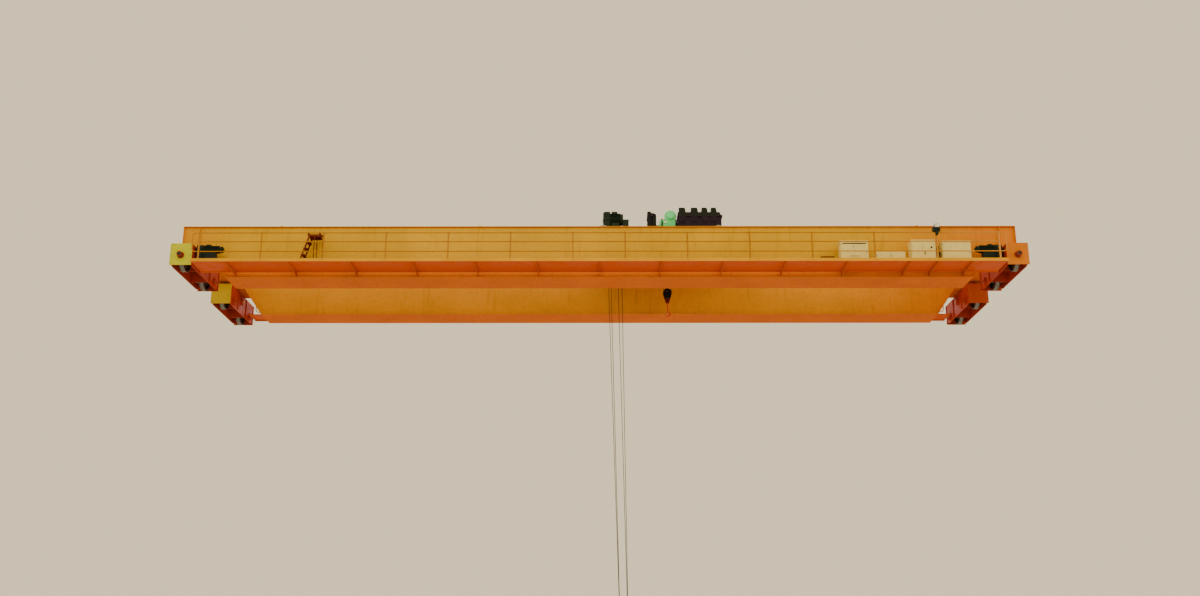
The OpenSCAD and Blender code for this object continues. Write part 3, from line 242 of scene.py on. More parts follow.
    def extrude(self, outline, origin, u, v, depth):
        """A flat outline given in u and v from origin, thickened along u x v."""
        origin, u, v = Vector(origin), Vector(u), Vector(v)
        axis = u.cross(v).normalized()
        n = len(outline)
        low = [origin + u * a + v * b for a, b in outline]
        verts = low + [p + axis * depth for p in low]
        faces = [tuple(range(n))[::-1], tuple(range(n, 2 * n))]
        faces += [(i, (i + 1) % n, n + (i + 1) % n, n + i) for i in range(n)]
        self.add(verts, faces)

    def done(self, replaces=(), blend=None):
        mesh = bpy.data.meshes.new(self.name)
        mesh.from_pydata(self.verts, [], self.faces)
        mesh.validate()
        mesh.update()
        mesh.materials.append(mat[self.material])
        obj = bpy.data.objects.new(self.name, mesh)
        bpy.context.scene.collection.objects.link(obj)
        mesh.polygons.foreach_set("use_smooth", [True] * len(mesh.polygons))
        mesh.set_sharp_from_angle(angle=SHARP)
        if blend:
            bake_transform(obj)
        else:
            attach(obj, self.body)
        if replaces:
            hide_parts(*replaces)
        return obj


# materials
def linear(r, g, b):
    def one(c):
        c /= 255
        return c / 12.92 if c <= 0.04045 else ((c + 0.055) / 1.055) ** 2.4
    return (one(r), one(g), one(b), 1.0)


def scaled(colour, k):
    return tuple(min(1.0, c * k) for c in colour[:3]) + (1.0,)


mat = {}
DUST, GRIME, CHIPPED = (0.19, 0.12, 0.05, 1), (0.13, 0.035, 0.004, 1), (0.07, 0.024, 0.011, 1)
BLACK = (0, 0, 0, 1)


class Nodes:
    """Short hands for building a node tree, whose material is kept in mat."""

    def __init__(self, name):
        self.material = mat[name] = bpy.data.materials.new(name)
        self.material.use_nodes = True
        self.tree = self.material.node_tree
        self.tree.nodes.clear()
        self.out = self.make("ShaderNodeOutputMaterial")
        self.shader = self.make("ShaderNodeBsdfPrincipled")
        self.link(self.shader.outputs["BSDF"], self.out.inputs["Surface"])
        self.coords = self.make("ShaderNodeTexCoord").outputs["Object"]

    def make(self, kind, **values):
        node = self.tree.nodes.new(kind)
        for key, value in values.items():
            setattr(node, key, value)
        return node

    def link(self, a, b):
        self.tree.links.new(a, b)

    def feed(self, value, socket):
        """Link an output, or set a plain value."""
        if hasattr(value, "is_linked"):
            self.link(value, socket)
        else:
            socket.default_value = value

    def mapped(self, scale):
        node = self.make("ShaderNodeMapping")
        node.inputs["Scale"].default_value = scale
        self.link(self.coords, node.inputs["Vector"])
        return node.outputs["Vector"]

    def noise(self, scale, detail=4.0, rough=0.55, vector=None):
        node = self.make("ShaderNodeTexNoise")
        node.inputs["Scale"].default_value = scale
        node.inputs["Detail"].default_value = detail
        node.inputs["Roughness"].default_value = rough
        self.link(vector or self.coords, node.inputs["Vector"])
        return node.outputs["Fac"]

    def ramp(self, fac, low, high, a=0.0, b=1.0):
        node = self.make("ShaderNodeMapRange")
        node.inputs["From Min"].default_value = low
        node.inputs["From Max"].default_value = high
        node.inputs["To Min"].default_value = a
        node.inputs["To Max"].default_value = b
        self.link(fac, node.inputs["Value"])
        return node.outputs["Result"]

    def mix(self, fac, a, b):
        node = self.make("ShaderNodeMix", data_type="RGBA")
        for value, key in ((fac, 0), (a, 6), (b, 7)):
            self.feed(value, node.inputs[key])
        return node.outputs[2]

    def math(self, op, a, b=0.0):
        node = self.make("ShaderNodeMath", operation=op)
        for value, socket in ((a, node.inputs[0]), (b, node.inputs[1])):
            self.feed(value, socket)
        return node.outputs[0]

    def split(self, vector):
        node = self.make("ShaderNodeSeparateXYZ")
        self.link(vector, node.inputs[0])
        return node.outputs

    def up(self, sign=1):
        """How far the surface faces up, or down with sign -1, from 0 to 1."""
        z = self.split(self.make("ShaderNodeNewGeometry").outputs["Normal"])[2]
        return self.ramp(z, sign * 0.55, sign * 0.95)

    def bump(self, height, strength, distance, below=None):
        node = self.make("ShaderNodeBump")
        node.inputs["Strength"].default_value = strength
        node.inputs["Distance"].default_value = distance
        self.link(height, node.inputs["Height"])
        if below:
            self.link(below, node.inputs["Normal"])
        return node.outputs["Normal"]


def painted(name, colour, rough=0.42, dust=0.35, grime=0.3, chips=0.02, panel=0.0, under=None,
            warm_light=None, low=None, gloss=0.1):
    """Enamel on steel: soft tone changes, run-down grime, dust on top faces and small chips.

    under is a painted shade, the tone of faces that look down; warm is a painted warm light, the tone
    towards the ends of the span; and low is a pair of a tone and the height below which it starts."""
    n = Nodes(name)
    flat = colour
    # towards the ends of the span, more at the right, the colour turns orange: a painted warm light
    if warm_light:
        x = n.split(n.coords)[0]
        ends = n.math("MAXIMUM", n.ramp(x, 9.0, 13.6, 0, 1), n.ramp(x, -12.6, -14.8, 0, 0.6))
        flat = n.mix(ends, colour, warm_light)
    if low:
        flat = n.mix(n.ramp(n.split(n.coords)[2], low[1] + 0.02, low[1] - 0.02), flat, low[0])
    # faces that look down take a redder, darker tone: painted shade
    if under:
        flat = n.mix(n.up(-1), flat, under)
    base = n.mix(n.ramp(n.noise(0.55, 3), 0.35, 0.7, 0, 0.16), flat, BLACK)
    base = n.mix(n.ramp(n.noise(14, 5), 0.45, 0.75, 0, 0.14), base, BLACK)
    streaks = n.noise(1.0, 5, 0.6, n.mapped((7, 7, 0.7)))
    base = n.mix(n.ramp(streaks, 0.56, 0.8, 0, grime), base, GRIME)
    chip = n.ramp(n.noise(55, 3, 0.6), 0.76 - chips, 0.78 - chips, 0, 0.85)
    base = n.mix(chip, base, CHIPPED)
    settled = n.math("MULTIPLY", n.up(), n.ramp(n.noise(3.5, 5), 0.3, 0.7, dust * 0.4, dust))
    base = n.mix(settled, base, DUST)
    n.link(base, n.shader.inputs["Base Color"])
    wear = n.ramp(n.noise(5, 4), 0.3, 0.75, rough - 0.07, rough + 0.16)
    n.link(n.math("ADD", wear, n.math("MULTIPLY", settled, 0.3)), n.shader.inputs["Roughness"])
    n.shader.inputs["Specular IOR Level"].default_value = gloss
    n.shader.inputs["Coat Weight"].default_value = 0.02
    n.shader.inputs["Coat Roughness"].default_value = 0.3
    fine = n.bump(n.noise(180, 2), 0.12, 0.0006)
    if panel:
        fine = n.bump(n.noise(1.1, 2), panel, 0.02, fine)
    n.link(n.bump(chip, 0.4, -0.0004, fine), n.shader.inputs["Normal"])


def bare_steel(name, colour=(120, 118, 116), rough=0.38, rust=0.35, lay=None):
    """Worked or rolled steel with rust bloom; lay gives the run of its fine scratches."""
    n = Nodes(name)
    tone = n.noise(1.0, 4, 0.6, n.mapped(lay or (40, 40, 40)))
    dark, light = scaled(linear(*colour), 0.8), scaled(linear(*colour), 1.15)
    base = n.mix(n.ramp(tone, 0.3, 0.7), dark, light)
    bloom = n.ramp(n.noise(6, 6, 0.65), 0.5, 0.68, 0, rust)
    base = n.mix(bloom, base, linear(96, 50, 26))
    n.link(base, n.shader.inputs["Base Color"])
    n.link(n.ramp(bloom, 0, 1, 0.95, 0.2), n.shader.inputs["Metallic"])
    worked = n.ramp(tone, 0.2, 0.8, rough - 0.06, rough + 0.12)
    n.link(n.math("ADD", worked, n.math("MULTIPLY", bloom, 0.35)), n.shader.inputs["Roughness"])
    n.link(n.bump(tone, 0.15, 0.0005, n.bump(bloom, 0.3, 0.0008)), n.shader.inputs["Normal"])


def rubber(name):
    """Black rubber, dusty in patches."""
    n = Nodes(name)
    dusty = n.ramp(n.noise(9, 5), 0.4, 0.75, 0, 0.4)
    n.link(n.mix(dusty, linear(26, 26, 28), linear(84, 78, 70)), n.shader.inputs["Base Color"])
    n.link(n.ramp(n.noise(30, 3), 0.3, 0.7, 0.62, 0.85), n.shader.inputs["Roughness"])
    n.link(n.bump(n.noise(260, 2), 0.2, 0.0006), n.shader.inputs["Normal"])


def rope_steel(name):
    """Greased wire rope with its strands lying aslant."""
    n = Nodes(name)
    turn = n.make("ShaderNodeTexWave", wave_type="BANDS", bands_direction="DIAGONAL")
    turn.inputs["Scale"].default_value = 42
    turn.inputs["Distortion"].default_value = 0.4
    n.link(n.coords, turn.inputs["Vector"])
    strand = turn.outputs["Fac"]
    tone = n.mix(strand, linear(40, 38, 34), linear(112, 108, 98))
    grease = n.ramp(n.noise(4, 4, 0.6, n.mapped((6, 6, 1.2))), 0.42, 0.7, 0, 0.6)
    n.link(n.mix(grease, tone, linear(38, 30, 20)), n.shader.inputs["Base Color"])
    n.shader.inputs["Metallic"].default_value = 0.7
    n.link(n.ramp(grease, 0, 1, 0.5, 0.34), n.shader.inputs["Roughness"])
    n.link(n.bump(strand, 0.6, 0.002), n.shader.inputs["Normal"])


def tread_plate(name, colour, under, shaded_inner):
    """Painted floor plate with raised crossed bars; its edge by the girder and its faces that look down
    take tones of painted shade.
    """
    n = Nodes(name)
    base = n.mix(n.ramp(n.noise(0.9, 4), 0.35, 0.7), scaled(colour, 0.85), scaled(colour, 1.05))
    x, y, _ = n.split(n.coords)
    off = n.math("ABSOLUTE", y)
    # faces by the girder that don't look up: a red-orange painted shade
    shaded_edge = n.math("MULTIPLY", n.ramp(off, 2.76, 2.72), n.math("SUBTRACT", 1.0, n.up()))
    base = n.mix(shaded_edge, base, shaded_inner)
    # faces that look down: painted shade
    base = n.mix(n.up(-1), base, under)

    def from_line(along, offset):
        """How far a point is from the middle of its cell, from 0 to 0.5."""
        cell = n.math("FRACT", n.math("ADD", n.math("MULTIPLY", along, bars_per_metre), offset))
        return n.math("ABSOLUTE", n.math("SUBTRACT", cell, 0.5))

    bars_per_metre, sets = 18, []
    for offset, slant in ((0.0, 1), (0.5, -1)):
        leaning = n.math("MULTIPLY", y, slant)
        across = from_line(n.math("ADD", x, leaning), offset)
        along = from_line(n.math("SUBTRACT", x, leaning), offset)
        sets.append(n.math("MULTIPLY", n.ramp(across, 0.1, 0.04), n.ramp(along, 0.42, 0.36)))
    flat = n.up()
    bars = n.math("MULTIPLY", n.math("MAXIMUM", *sets), flat)
    worn = n.ramp(n.noise(2.2, 5), 0.45, 0.7, 0, 0.55)
    base = n.mix(n.math("MULTIPLY", worn, flat), base, (0.2, 0.1, 0.03, 1))
    base = n.mix(n.math("MULTIPLY", bars, 0.35), base, (0.5, 0.3, 0.08, 1))
    n.link(base, n.shader.inputs["Base Color"])
    n.link(n.ramp(worn, 0, 0.5, 0.5, 0.72), n.shader.inputs["Roughness"])
    n.shader.inputs["Specular IOR Level"].default_value = 0.1
    n.link(n.bump(bars, 0.9, 0.003, n.bump(n.noise(150, 2), 0.12, 0.0006)), n.shader.inputs["Normal"])


AMBER = (0.78, 0.445, 0.0, 1)
# painted warm light: the orange the girders take towards the ends of the span
END_LIGHT_ORANGE = (0.78, 0.24, 0.0, 1)
# painted shade: the tones of faces that look down, on the girders and the walkway floors
SHADE_UNDER = (0.66, 0.14, 0.0, 1)
DEEP_SHADE_UNDER = (0.60, 0.075, 0.0, 1)
painted("amber", AMBER, panel=0.25, under=SHADE_UNDER, warm_light=END_LIGHT_ORANGE)
# the far webs wear a redder copy of the girders' amber: painted shade, the shadow of the trolley
painted("amber_far_shaded", (0.80, 0.335, 0.0, 1), panel=0.25, under=SHADE_UNDER, warm_light=END_LIGHT_ORANGE)
# the near webs below the walkway's floor take a red-orange tone: painted shade with red bounce light
# from the walkway
painted("amber_shaded_band", AMBER, panel=0.25, under=SHADE_UNDER, warm_light=END_LIGHT_ORANGE,
        low=((0.95, 0.24, 0.0, 1), 0.16))
# the flanges: faces that look down in painted shade, the ends of the span in painted warm light
painted("deep_amber", (0.74, 0.38, 0.0, 1), rough=0.52, panel=0.15,
        under=(0.72, 0.145, 0.0, 1), warm_light=END_LIGHT_ORANGE, gloss=0.04)
# handrails a darker amber than the girders, painted shade on the thin tubes; brighter orange towards
# the span's ends, a painted warm light
painted("rail_paint_and_shade", (0.5, 0.2, 0.0, 1), warm_light=(0.7, 0.3, 0.05, 1))
# the walkway brackets in a darker red-orange than the girders: painted shade from the walkway above
painted("bracket", (0.62, 0.13, 0.0, 1), grime=0.15)
# walkway floors: undersides and the edge by the girder in painted shade
tread_plate("floor", (0.80, 0.38, 0.0, 1), DEEP_SHADE_UNDER, (0.80, 0.19, 0.0, 1))
painted("red_oxide", (0.46, 0.042, 0.009, 1), rough=0.5)
painted("step_red", (0.16, 0.022, 0.006, 1), rough=0.5)
painted("end_left_near", (0.64, 0.66, 0.0, 1), grime=0.1, dust=0.1)
painted("end_left_far", (0.72, 0.52, 0.0, 1), grime=0.1, dust=0.1)
painted("end_right_near", (0.70, 0.20, 0.0, 1), grime=0.2, dust=0.1)
painted("end_right_far", (0.42, 0.06, 0.006, 1), grime=0.2, dust=0.1)
painted("cream", (0.96, 0.84, 0.29, 1), rough=0.36, grime=0.12, chips=0.0)
painted("dark_machine", (0.012, 0.027, 0.019, 1), rough=0.4, grime=0.1, dust=0.2)
painted("light_green", (0.20, 0.97, 0.42, 1), rough=0.38, grime=0.1)
painted("gear_case", (0.014, 0.02, 0.013, 1), rough=0.42, grime=0.1, dust=0.15,
        low=((0.024, 0.012, 0.028, 1), 2.73))
painted("hook_red", (0.74, 0.11, 0.04, 1), rough=0.4)
painted("black_metal", (0.012, 0.011, 0.013, 1), rough=0.45, grime=0.1, dust=0.15)
painted("aux_cheeks", (0.012, 0.011, 0.013, 1), rough=0.45, grime=0.1, dust=0.15,
        low=((0.16, 0.012, 0.004, 1), 0.3))
bare_steel("steel")
bare_steel("rail_steel", (128, 120, 112), 0.3, 0.55, (1.5, 60, 60))
bare_steel("zinc", (150, 150, 146), 0.42, 0.2)
bare_steel("dark_bolt", (58, 54, 54), 0.5, 0.15)
rubber("rubber")
rope_steel("rope")
painted("brown", (0.2, 0.08, 0.03, 1), rough=0.5, grime=0.15)
painted("cream_pale", (0.9, 0.86, 0.72, 1), rough=0.4, grime=0.1, chips=0.0)

# which material each solid of the CAD model wears; every wheel is steel
LOOKS = {
    "amber": "end_ties bogie_saddles trolley_frame",
    "amber_shaded_band": "near_girder_webs",
    "amber_far_shaded": "far_girder_webs",
    "deep_amber": "near_girder_flanges far_girder_flanges",
    "rail_paint_and_shade": "near_handrail far_handrail",
    "floor": "near_walkway far_walkway",
    "bracket": "walkway_brackets",
    "rail_steel": "trolley_rails",
    "step_red": "access_steps",
    "cream": "cabinets door_cabinet cabinet_door_left cabinet_door_right",
    "dark_machine": "lamp drive_left drive_right trolley_drives",
    "gear_case": "main_reducer",
    "light_green": "main_motor aux_hoist",
    "black_metal": "main_brake",
    "red_oxide": "bogie_left_near bogie_left_far bogie_right_near bogie_right_far "
                 "rope_supports main_block",
    "aux_cheeks": "aux_block",
    "hook_red": "main_hook aux_hook",
    "steel": "main_drum aux_drum",
    "rope": "main_ropes aux_ropes"}
look = {node: key for key, names in LOOKS.items() for node in names.split()}
for name, obj in nodes.items():
    key = "steel" if "wheel" in name else look[name]
    obj.data.materials.clear()
    obj.data.materials.append(mat[key])
    obj.data.polygons.foreach_set("material_index", [0] * len(obj.data.polygons))

# girders: weld seams, end stiffeners and lifting lugs
SEAM = 0.023            # from a flange's face to the middle of its seam
BUTT_XS = (-12.0, -6.0, 0.3, 6.3, 12.3)


def belly(lift):
    """The girder's lower edge line in x and z, lifted."""
    return [(-GIRDER_HALF, END_Z + lift), (-HAUNCH_HALF, END_Z + lift),
            (-BELLY_HALF, BELLY_Z + lift), (BELLY_HALF, BELLY_Z + lift),
            (HAUNCH_HALF, END_Z + lift), (GIRDER_HALF, END_Z + lift)]


def belly_z(x):
    """The height of the girder's lower edge at x."""
    x = abs(x)
    if x < BELLY_HALF:
        return BELLY_Z
    if x < HAUNCH_HALF:
        return BELLY_Z + (x - BELLY_HALF) / (HAUNCH_HALF - BELLY_HALF) * (END_Z - BELLY_Z)
    return END_Z


for side, label in ((-1, "near"), (1, "far")):
    p = Piece(f"{label}_girder_seams", "bridge", "amber", "amber")
    for face in (-1, 1):
        y = side * GIRDER_Y + face * (WEB_OFF + 0.002)
        p.tube([(x, y, z) for x, z in belly(SEAM)], 0.006, 6)
        p.tube([(s * GIRDER_HALF, y, GIRDER_TOP - SEAM) for s in (-1, 1)], 0.006, 6)
        for x in BUTT_XS:
            p.tube([(x, y - face * 0.001, z) for z in (belly_z(x) + 0.03, GIRDER_TOP - 0.03)], 0.004, 6)
    for s in (-1, 1):
        x = s * (GIRDER_HALF + 0.001)
        for y in (-0.36, 0.0, 0.36):
            p.slab((x, side * GIRDER_Y + y - 0.006, END_Z + 0.03),
                   (x + s * 0.06, side * GIRDER_Y + y + 0.006, GIRDER_TOP - 0.03))
        for x in (s * 4.2, s * 11.2):
            p.extrude([(-0.09, 0), (0.09, 0), (0.06, 0.1), (0.0, 0.13), (-0.06, 0.1)],
                      (x, side * (GIRDER_Y + 0.3) - 0.01, GIRDER_TOP), (1, 0, 0), (0, 0, 1), 0.02)
    p.done()

# rail clips and their bolts
clips = Piece("rail_clips", "bridge", "rail_steel", "rail_steel")
CLIP_PITCH, CLIP_HALF = 0.6, 0.03
for side in (-1, 1):
    for face in (-1, 1):
        y = side * RAIL_Y + face * 0.052
        for i in range(-21, 22):
            x = i * CLIP_PITCH + 0.15
            for y0, z0, y1, z1 in ((-0.012, 0.001, 0.05, 0.016), (-0.022, 0.011, 0.01, 0.024)):
                clips.slab((x - CLIP_HALF, y + y0 * face, GIRDER_TOP + z0),
                           (x + CLIP_HALF, y + y1 * face, GIRDER_TOP + z1))
            clips.bolt((x, y + 0.026 * face, GIRDER_TOP + 0.016), (0, 0, 1), 0.016)
clips.done()

# pads on the rails' end stops, thin enough to stay clear of the trolley's buffers
STOP_X, BUFFER_Z = 13.35, 2.05
stops = Piece("trolley_stop_pads", "bridge", "rubber")
for side in (-1, 1):
    for s in (-1, 1):
        x, y = s * STOP_X, side * RAIL_Y
        stops.cyl((x, y, BUFFER_Z), (x - s * 0.006, y, BUFFER_Z), 0.062, 32, chamfer=0.002)
stops.done()

# walkways and handrails: base plates, clamps and floor bolts
POST_XS = [s * (0.885 + i * 2.11) for s in (-1, 1) for i in range(7)]
RAIL_HEIGHTS = (0.33, 0.68, 1.0)
FLOOR_BOLT_XS = [i * 1.05 for i in range(-13, 14)]
for label, y_rail, z_floor, out, y_in in (("near", -3.665, 0.13, -1, -2.59),
                                          ("far", 3.35, 0.30, 1, 2.59)):
    p = Piece(f"{label}_handrail_fittings", "bridge", "rail_paint_and_shade", "amber")
    q = Piece(f"{label}_walkway_fasteners", "bridge", "zinc")
    for x in POST_XS:
        p.slab((x - 0.05, y_rail - 0.03, z_floor), (x + 0.05, y_rail + 0.038, z_floor + 0.01))
        q.bolts((x - 0.033, x + 0.036), [y_rail + 0.022], [z_floor + 0.01], UP, 0.012)
        for h in RAIL_HEIGHTS:
            z = z_floor + h
            p.slab((x - 0.03, y_rail - 0.022, z - 0.022), (x - 0.018, y_rail + 0.022, z + 0.022), 0.002)
            q.bolt((x + 0.002, y_rail - 0.025, z), (0, -1, 0), 0.009, washer=False)
    q.bolts(FLOOR_BOLT_XS, (y_in + out * 0.07, y_rail - out * 0.1), [z_floor], UP, 0.01)
    p.done()
    q.done()

# bogies: bearing caps, bolts and buffer covers
for s, side, e, end in CORNERS:
    body = f"bogie_{side}_{end}"
    caps = Piece(f"{body}_bearing_caps", body, "red_oxide", "red_oxide")
    bolts = Piece(f"{body}_fasteners", body, "zinc")
    for t in (-1, 1):
        y = e * GIRDER_Y + t * WHEELBASE / 2
        for f in (-1, 1):
            if (end, t, f) == ("near", -1, -s):
                continue            # the travel drive sits here
            x = s * RAIL_X + f * (BOGIE_HALF_W + 0.06)
            caps.disc_ring((x, y, AXLE_Z), (f, 0, 0), 0.05, 0.125, 0.012, 32)
            bolts.bolt_circle((x + f * 0.012, y, AXLE_Z), (f, 0, 0), 0.098, 8, 0.014, 0.2)
            caps.ring((x - f * 0.058, y, AXLE_Z), SPAN, 0.142, 0.006, 36, 6)
    for f in (-1, 1):
        x = s * RAIL_X + f * (BOGIE_HALF_W + 0.055)
        caps.ring((x - f * 0.052, e * GIRDER_Y, PIN_Z), SPAN, 0.132, 0.006, 36, 6)
    for t in (-1, 1):
        bolts.bolts((s * RAIL_X - 0.3, s * RAIL_X + 0.3), [e * GIRDER_Y + t * (END_PLATE + 0.001)],
                    (0.16, 0.42, 0.66, 0.82), (0, t, 0))
    caps.done()
    bolts.done()
    x, y0, z = s * RAIL_X, e * (GIRDER_Y + END_PLATE), 0.44
    b = Piece(f"{body}_buffer_cover", body, "rubber")
    for k in range(5):
        b.ring((x, y0 + e * (0.035 + k * 0.028), z), RUNWAY, 0.088, 0.007, 40, 8)
    b.cyl((x, y0 + e * 0.166, z), (x, y0 + e * 0.176, z), 0.07, 32, chamfer=0.003)
    b.done()

# painted faces on the bogies' end plates: yellow at the left, orange and red at the right
for s, side, e, end in CORNERS:
    body = f"bogie_{side}_{end}"
    p = Piece(f"{body}_end_faces", body, f"end_{side}_{end}", "amber")
    for t in (-1, 1):
        y = e * GIRDER_Y + t * END_PLATE
        p.slab((s * RAIL_X - 0.375, y, 0.09), (s * RAIL_X + 0.375, y + t * 0.003, 0.87), 0.001)
    p.done()

# cabinets, each as its left edge, its width and its top
FRONT = -3.105
VENT = (8.291, 0.952, 1.055)
LOW = ((9.5, 0.495, 0.65), (10.005, 0.495, 0.65))
DOORS = (10.727, 0.83, 1.09)
END = (11.792, 0.972, 1.05)
vent_x, vent_end = VENT[0], VENT[0] + VENT[1]
p = Piece("cabinet_louvres", "bridge", "black_metal")
for i in range(3):
    z = 0.936 + i * 0.012
    p.slab((vent_x + 0.062, FRONT - 0.001 + i * 0.004, z),
           (vent_end - 0.062, FRONT + 0.026, z + 0.006), 0.001)
for i in range(1, 5):
    z = 0.31 + i * 0.045
    p.slab((vent_x + 0.302, FRONT - 0.003, z + 0.003),
           (vent_end - 0.302, FRONT + 0.016, z + 0.012), 0.001)
p.done()

p = Piece("cabinet_fittings", "bridge", "zinc")
for x, w, top in (VENT, END, *LOW):
    lock_x, lock_z = x + w - 0.06, (0.19 + top) / 2
    for z in (0.3, top - 0.14):
        p.slab((x + 0.018, FRONT - 0.014, z - 0.03), (x + 0.034, FRONT + 0.001, z + 0.03), 0.002)
    p.cyl((lock_x, FRONT - 0.009, lock_z), (lock_x, FRONT - 0.03, lock_z), 0.016, 20, chamfer=0.002)
    p.bolts((x + 0.06, lock_x), [FRONT + 0.2], [top], UP, 0.014)
x = vent_x + 0.45
p.cyl((x, FRONT - 0.008, 0.83), (x, FRONT - 0.02, 0.83), 0.022, 20, chamfer=0.002)
p.bolts((DOORS[0] + 0.08, DOORS[0] + DOORS[1] - 0.08), [FRONT + 0.2], [DOORS[2]], UP, 0.014)
p.done()

# cable glands at the cabinets' backs, and the black box between two of them
GLAND_RUN = ((-2.69, 0.62), (-2.64, 0.6), (-2.61, 0.52), (-2.6, 0.3), (-2.6, 0.135))
p = Piece("cabinet_glands", "bridge", "black_metal")
for left in (VENT[0], END[0]):
    for k in range(5):
        x = left + 0.18 + k * 0.13
        p.cyl((x, -2.71, 0.62), (x, -2.69, 0.62), 0.022, 16, chamfer=0.002)
        p.tube([(x, y, z) for y, z in GLAND_RUN], 0.012, 8)
p.slab((11.615, -2.98, 0.132), (11.735, -2.82, 0.7), 0.01)
p.slab((11.635, -2.96, 0.7), (11.715, -2.84, 0.92), 0.006)
for z in (0.25, 0.45, 0.62):
    p.slab((11.609, -2.99, z), (11.741, -2.81, z + 0.016), 0.003)
p.done()

p = Piece("web_cable_tray", "bridge", "brown")
p.slab((7.72, -2.56, 0.63), (8.19, -2.506, 0.66), 0.004)
p.slab((7.72, -2.56, 0.66), (8.19, -2.553, 0.7), 0.002)
for x in (7.8, 7.95, 8.1):
    p.slab((x, -2.55, 0.59), (x + 0.02, -2.506, 0.64), 0.002)
p.done()

p = Piece("door_handle_left", "left_door", "black_metal")
p.cyl((11.1, FRONT - 0.0005, 0.78), (11.1, FRONT - 0.012, 0.78), 0.014, 16, chamfer=0.002)
p.done()
p = Piece("door_knob", "right_door", "black_metal")
x0 = DOORS[0] + DOORS[1] / 2
x = x0 + 0.2675
p.cyl((x, FRONT - 0.0221, 0.8), (x, FRONT - 0.032, 0.8), 0.034, 28, chamfer=0.004)
p.slab((x - 0.006, FRONT - 0.042, 0.775), (x + 0.006, FRONT - 0.031, 0.825), 0.002)
p.slab((x0 + 0.02, FRONT - 0.034, 0.55), (x0 + 0.05, FRONT - 0.0295, 0.66), 0.003)
p.done()

# lamp on its handrail post
LAMP_X, LAMP_Y = POST_XS[-2], -3.65
p = Piece("lamp_housing", "bridge", "cream_pale")
p.slab((LAMP_X - 0.045, LAMP_Y - 0.075, 1.28), (LAMP_X + 0.095, LAMP_Y - 0.0695, 1.42), 0.002)
p.slab((LAMP_X - 0.04, LAMP_Y - 0.07, 1.4255), (LAMP_X + 0.09, LAMP_Y + 0.02, 1.44), 0.004)
x, y = LAMP_X + 0.025, LAMP_Y - 0.01
p.cyl((x, y, 1.4395), (x, y, 1.46), 0.03, 20, chamfer=0.004)
p.done()
p = Piece("lamp_fittings", "bridge", "black_metal")
for z in (1.17, 1.2, 1.23, 1.26):
    p.slab((LAMP_X - 0.12, LAMP_Y - 0.095, z), (LAMP_X + 0.12, LAMP_Y - 0.0895, z + 0.012), 0.001)
p.bolts((LAMP_X - 0.1, LAMP_X + 0.1), [LAMP_Y - 0.0901], [1.275], (0, -1, 0), 0.01)
CABLE_RUN = ((0, -0.04, 1.03), (0.01, -0.01, 0.95), (0.012, 0.035, 0.85), (0.012, 0.04, 0.5),
             (0.012, 0.04, 0.15))
p.tube([(LAMP_X + dx, LAMP_Y + dy, z) for dx, dy, z in CABLE_RUN], 0.008, 8)
p.done()

# access steps: feet, the clamp of their rail, bolts through the stringers
STEP_X, STEP_Y, STEP_W, STEP_TOP = -10.39, -3.045, 0.36, 1.28
p = Piece("step_fittings", "bridge", "rubber")
for y, dxs in ((STEP_Y + 0.007, (0.03, 0.565, 0.865)), (STEP_Y + STEP_W - 0.007, (0.03, 0.565))):
    for dx in dxs:
        x = STEP_X + dx
        p.slab((x - 0.035, y - 0.02, 0.1305), (x + 0.035, y + 0.02, 0.15), 0.004)
p.done()
p = Piece("step_clamp", "bridge", "step_red")
p.slab((STEP_X + 0.842, STEP_Y - 0.007, 1.225), (STEP_X + 0.888, STEP_Y + 0.021, 1.3), 0.004)
p.bolts([STEP_X + 0.865], [STEP_Y - 0.007], (1.25, 1.283), (0, -1, 0), 0.009)
p.done()
p = Piece("step_bolts", "bridge", "zinc")
places = [(0.03 + i * 0.37 / 5, 0.13 + i * 1.18 / 5) for i in range(1, 5)]
for dx, z in places + [(0.35, STEP_TOP), (0.7, STEP_TOP)]:
    for y, a in ((STEP_Y, -1), (STEP_Y + STEP_W, 1)):
        p.bolt((STEP_X + dx, y, z), (0, a, 0), 0.009)
p.done()

# travel drives: flange bolts, fan guards and the motors' cables
DRIVE_Z = 0.79
for s, side in SIDES:
    body = f"bogie_{side}_near"
    y = -GIRDER_Y - WHEELBASE / 2
    x0 = s * (RAIL_X - 0.415)
    face = x0 - s * 0.23
    p = Piece(f"{body}_drive_fasteners", body, "zinc")
    p.bolt_circle((face, y, AXLE_Z), (-s, 0, 0), 0.088, 6, 0.012, 0.3)
    p.bolt_circle((face, y, DRIVE_Z), (s, 0, 0), 0.14, 8, 0.012, 0.2)
    for k in range(7):
        z = 0.38 + k * 0.07
        for f in (-1, 1):
            half = 0.13 + 0.035 * (z - AXLE_Z) / 0.475
            p.bolt((x0 - s * 0.1, y + f * (half + 0.003), z), (0, f, 0), 0.012)
    p.bolts((x0 - s * 0.31, x0 - s * 0.43), (y - 0.06, y + 0.06), [0.955], UP, 0.009)
    p.done()
    q = Piece(f"{body}_drive_cowl", body, "dark_machine", "dark_machine")
    end_x = x0 - s * 0.85
    q.rings((end_x - s * 0.002, y, DRIVE_Z), SPAN, 0.03, 0.022, 4, 0.004)
    for dx in (0.105, 0.01):
        q.ring((end_x + s * dx, y, DRIVE_Z), SPAN, 0.112, 0.006, 36, 6)
    x = x0 - s * 0.3
    q.cyl((x, y + 0.081, 0.915), (x, y + 0.11, 0.915), 0.016, 16, chamfer=0.002)
    q.tube([(x, y + 0.105, 0.915), (x, y + 0.17, 0.9), (x0 - s * 0.26, y + 0.2, 0.8),
            (x0 - s * 0.1, y + 0.21, 0.72), (x0 + s * 0.06, y + 0.2, 0.7)], 0.009, 8)
    q.done()

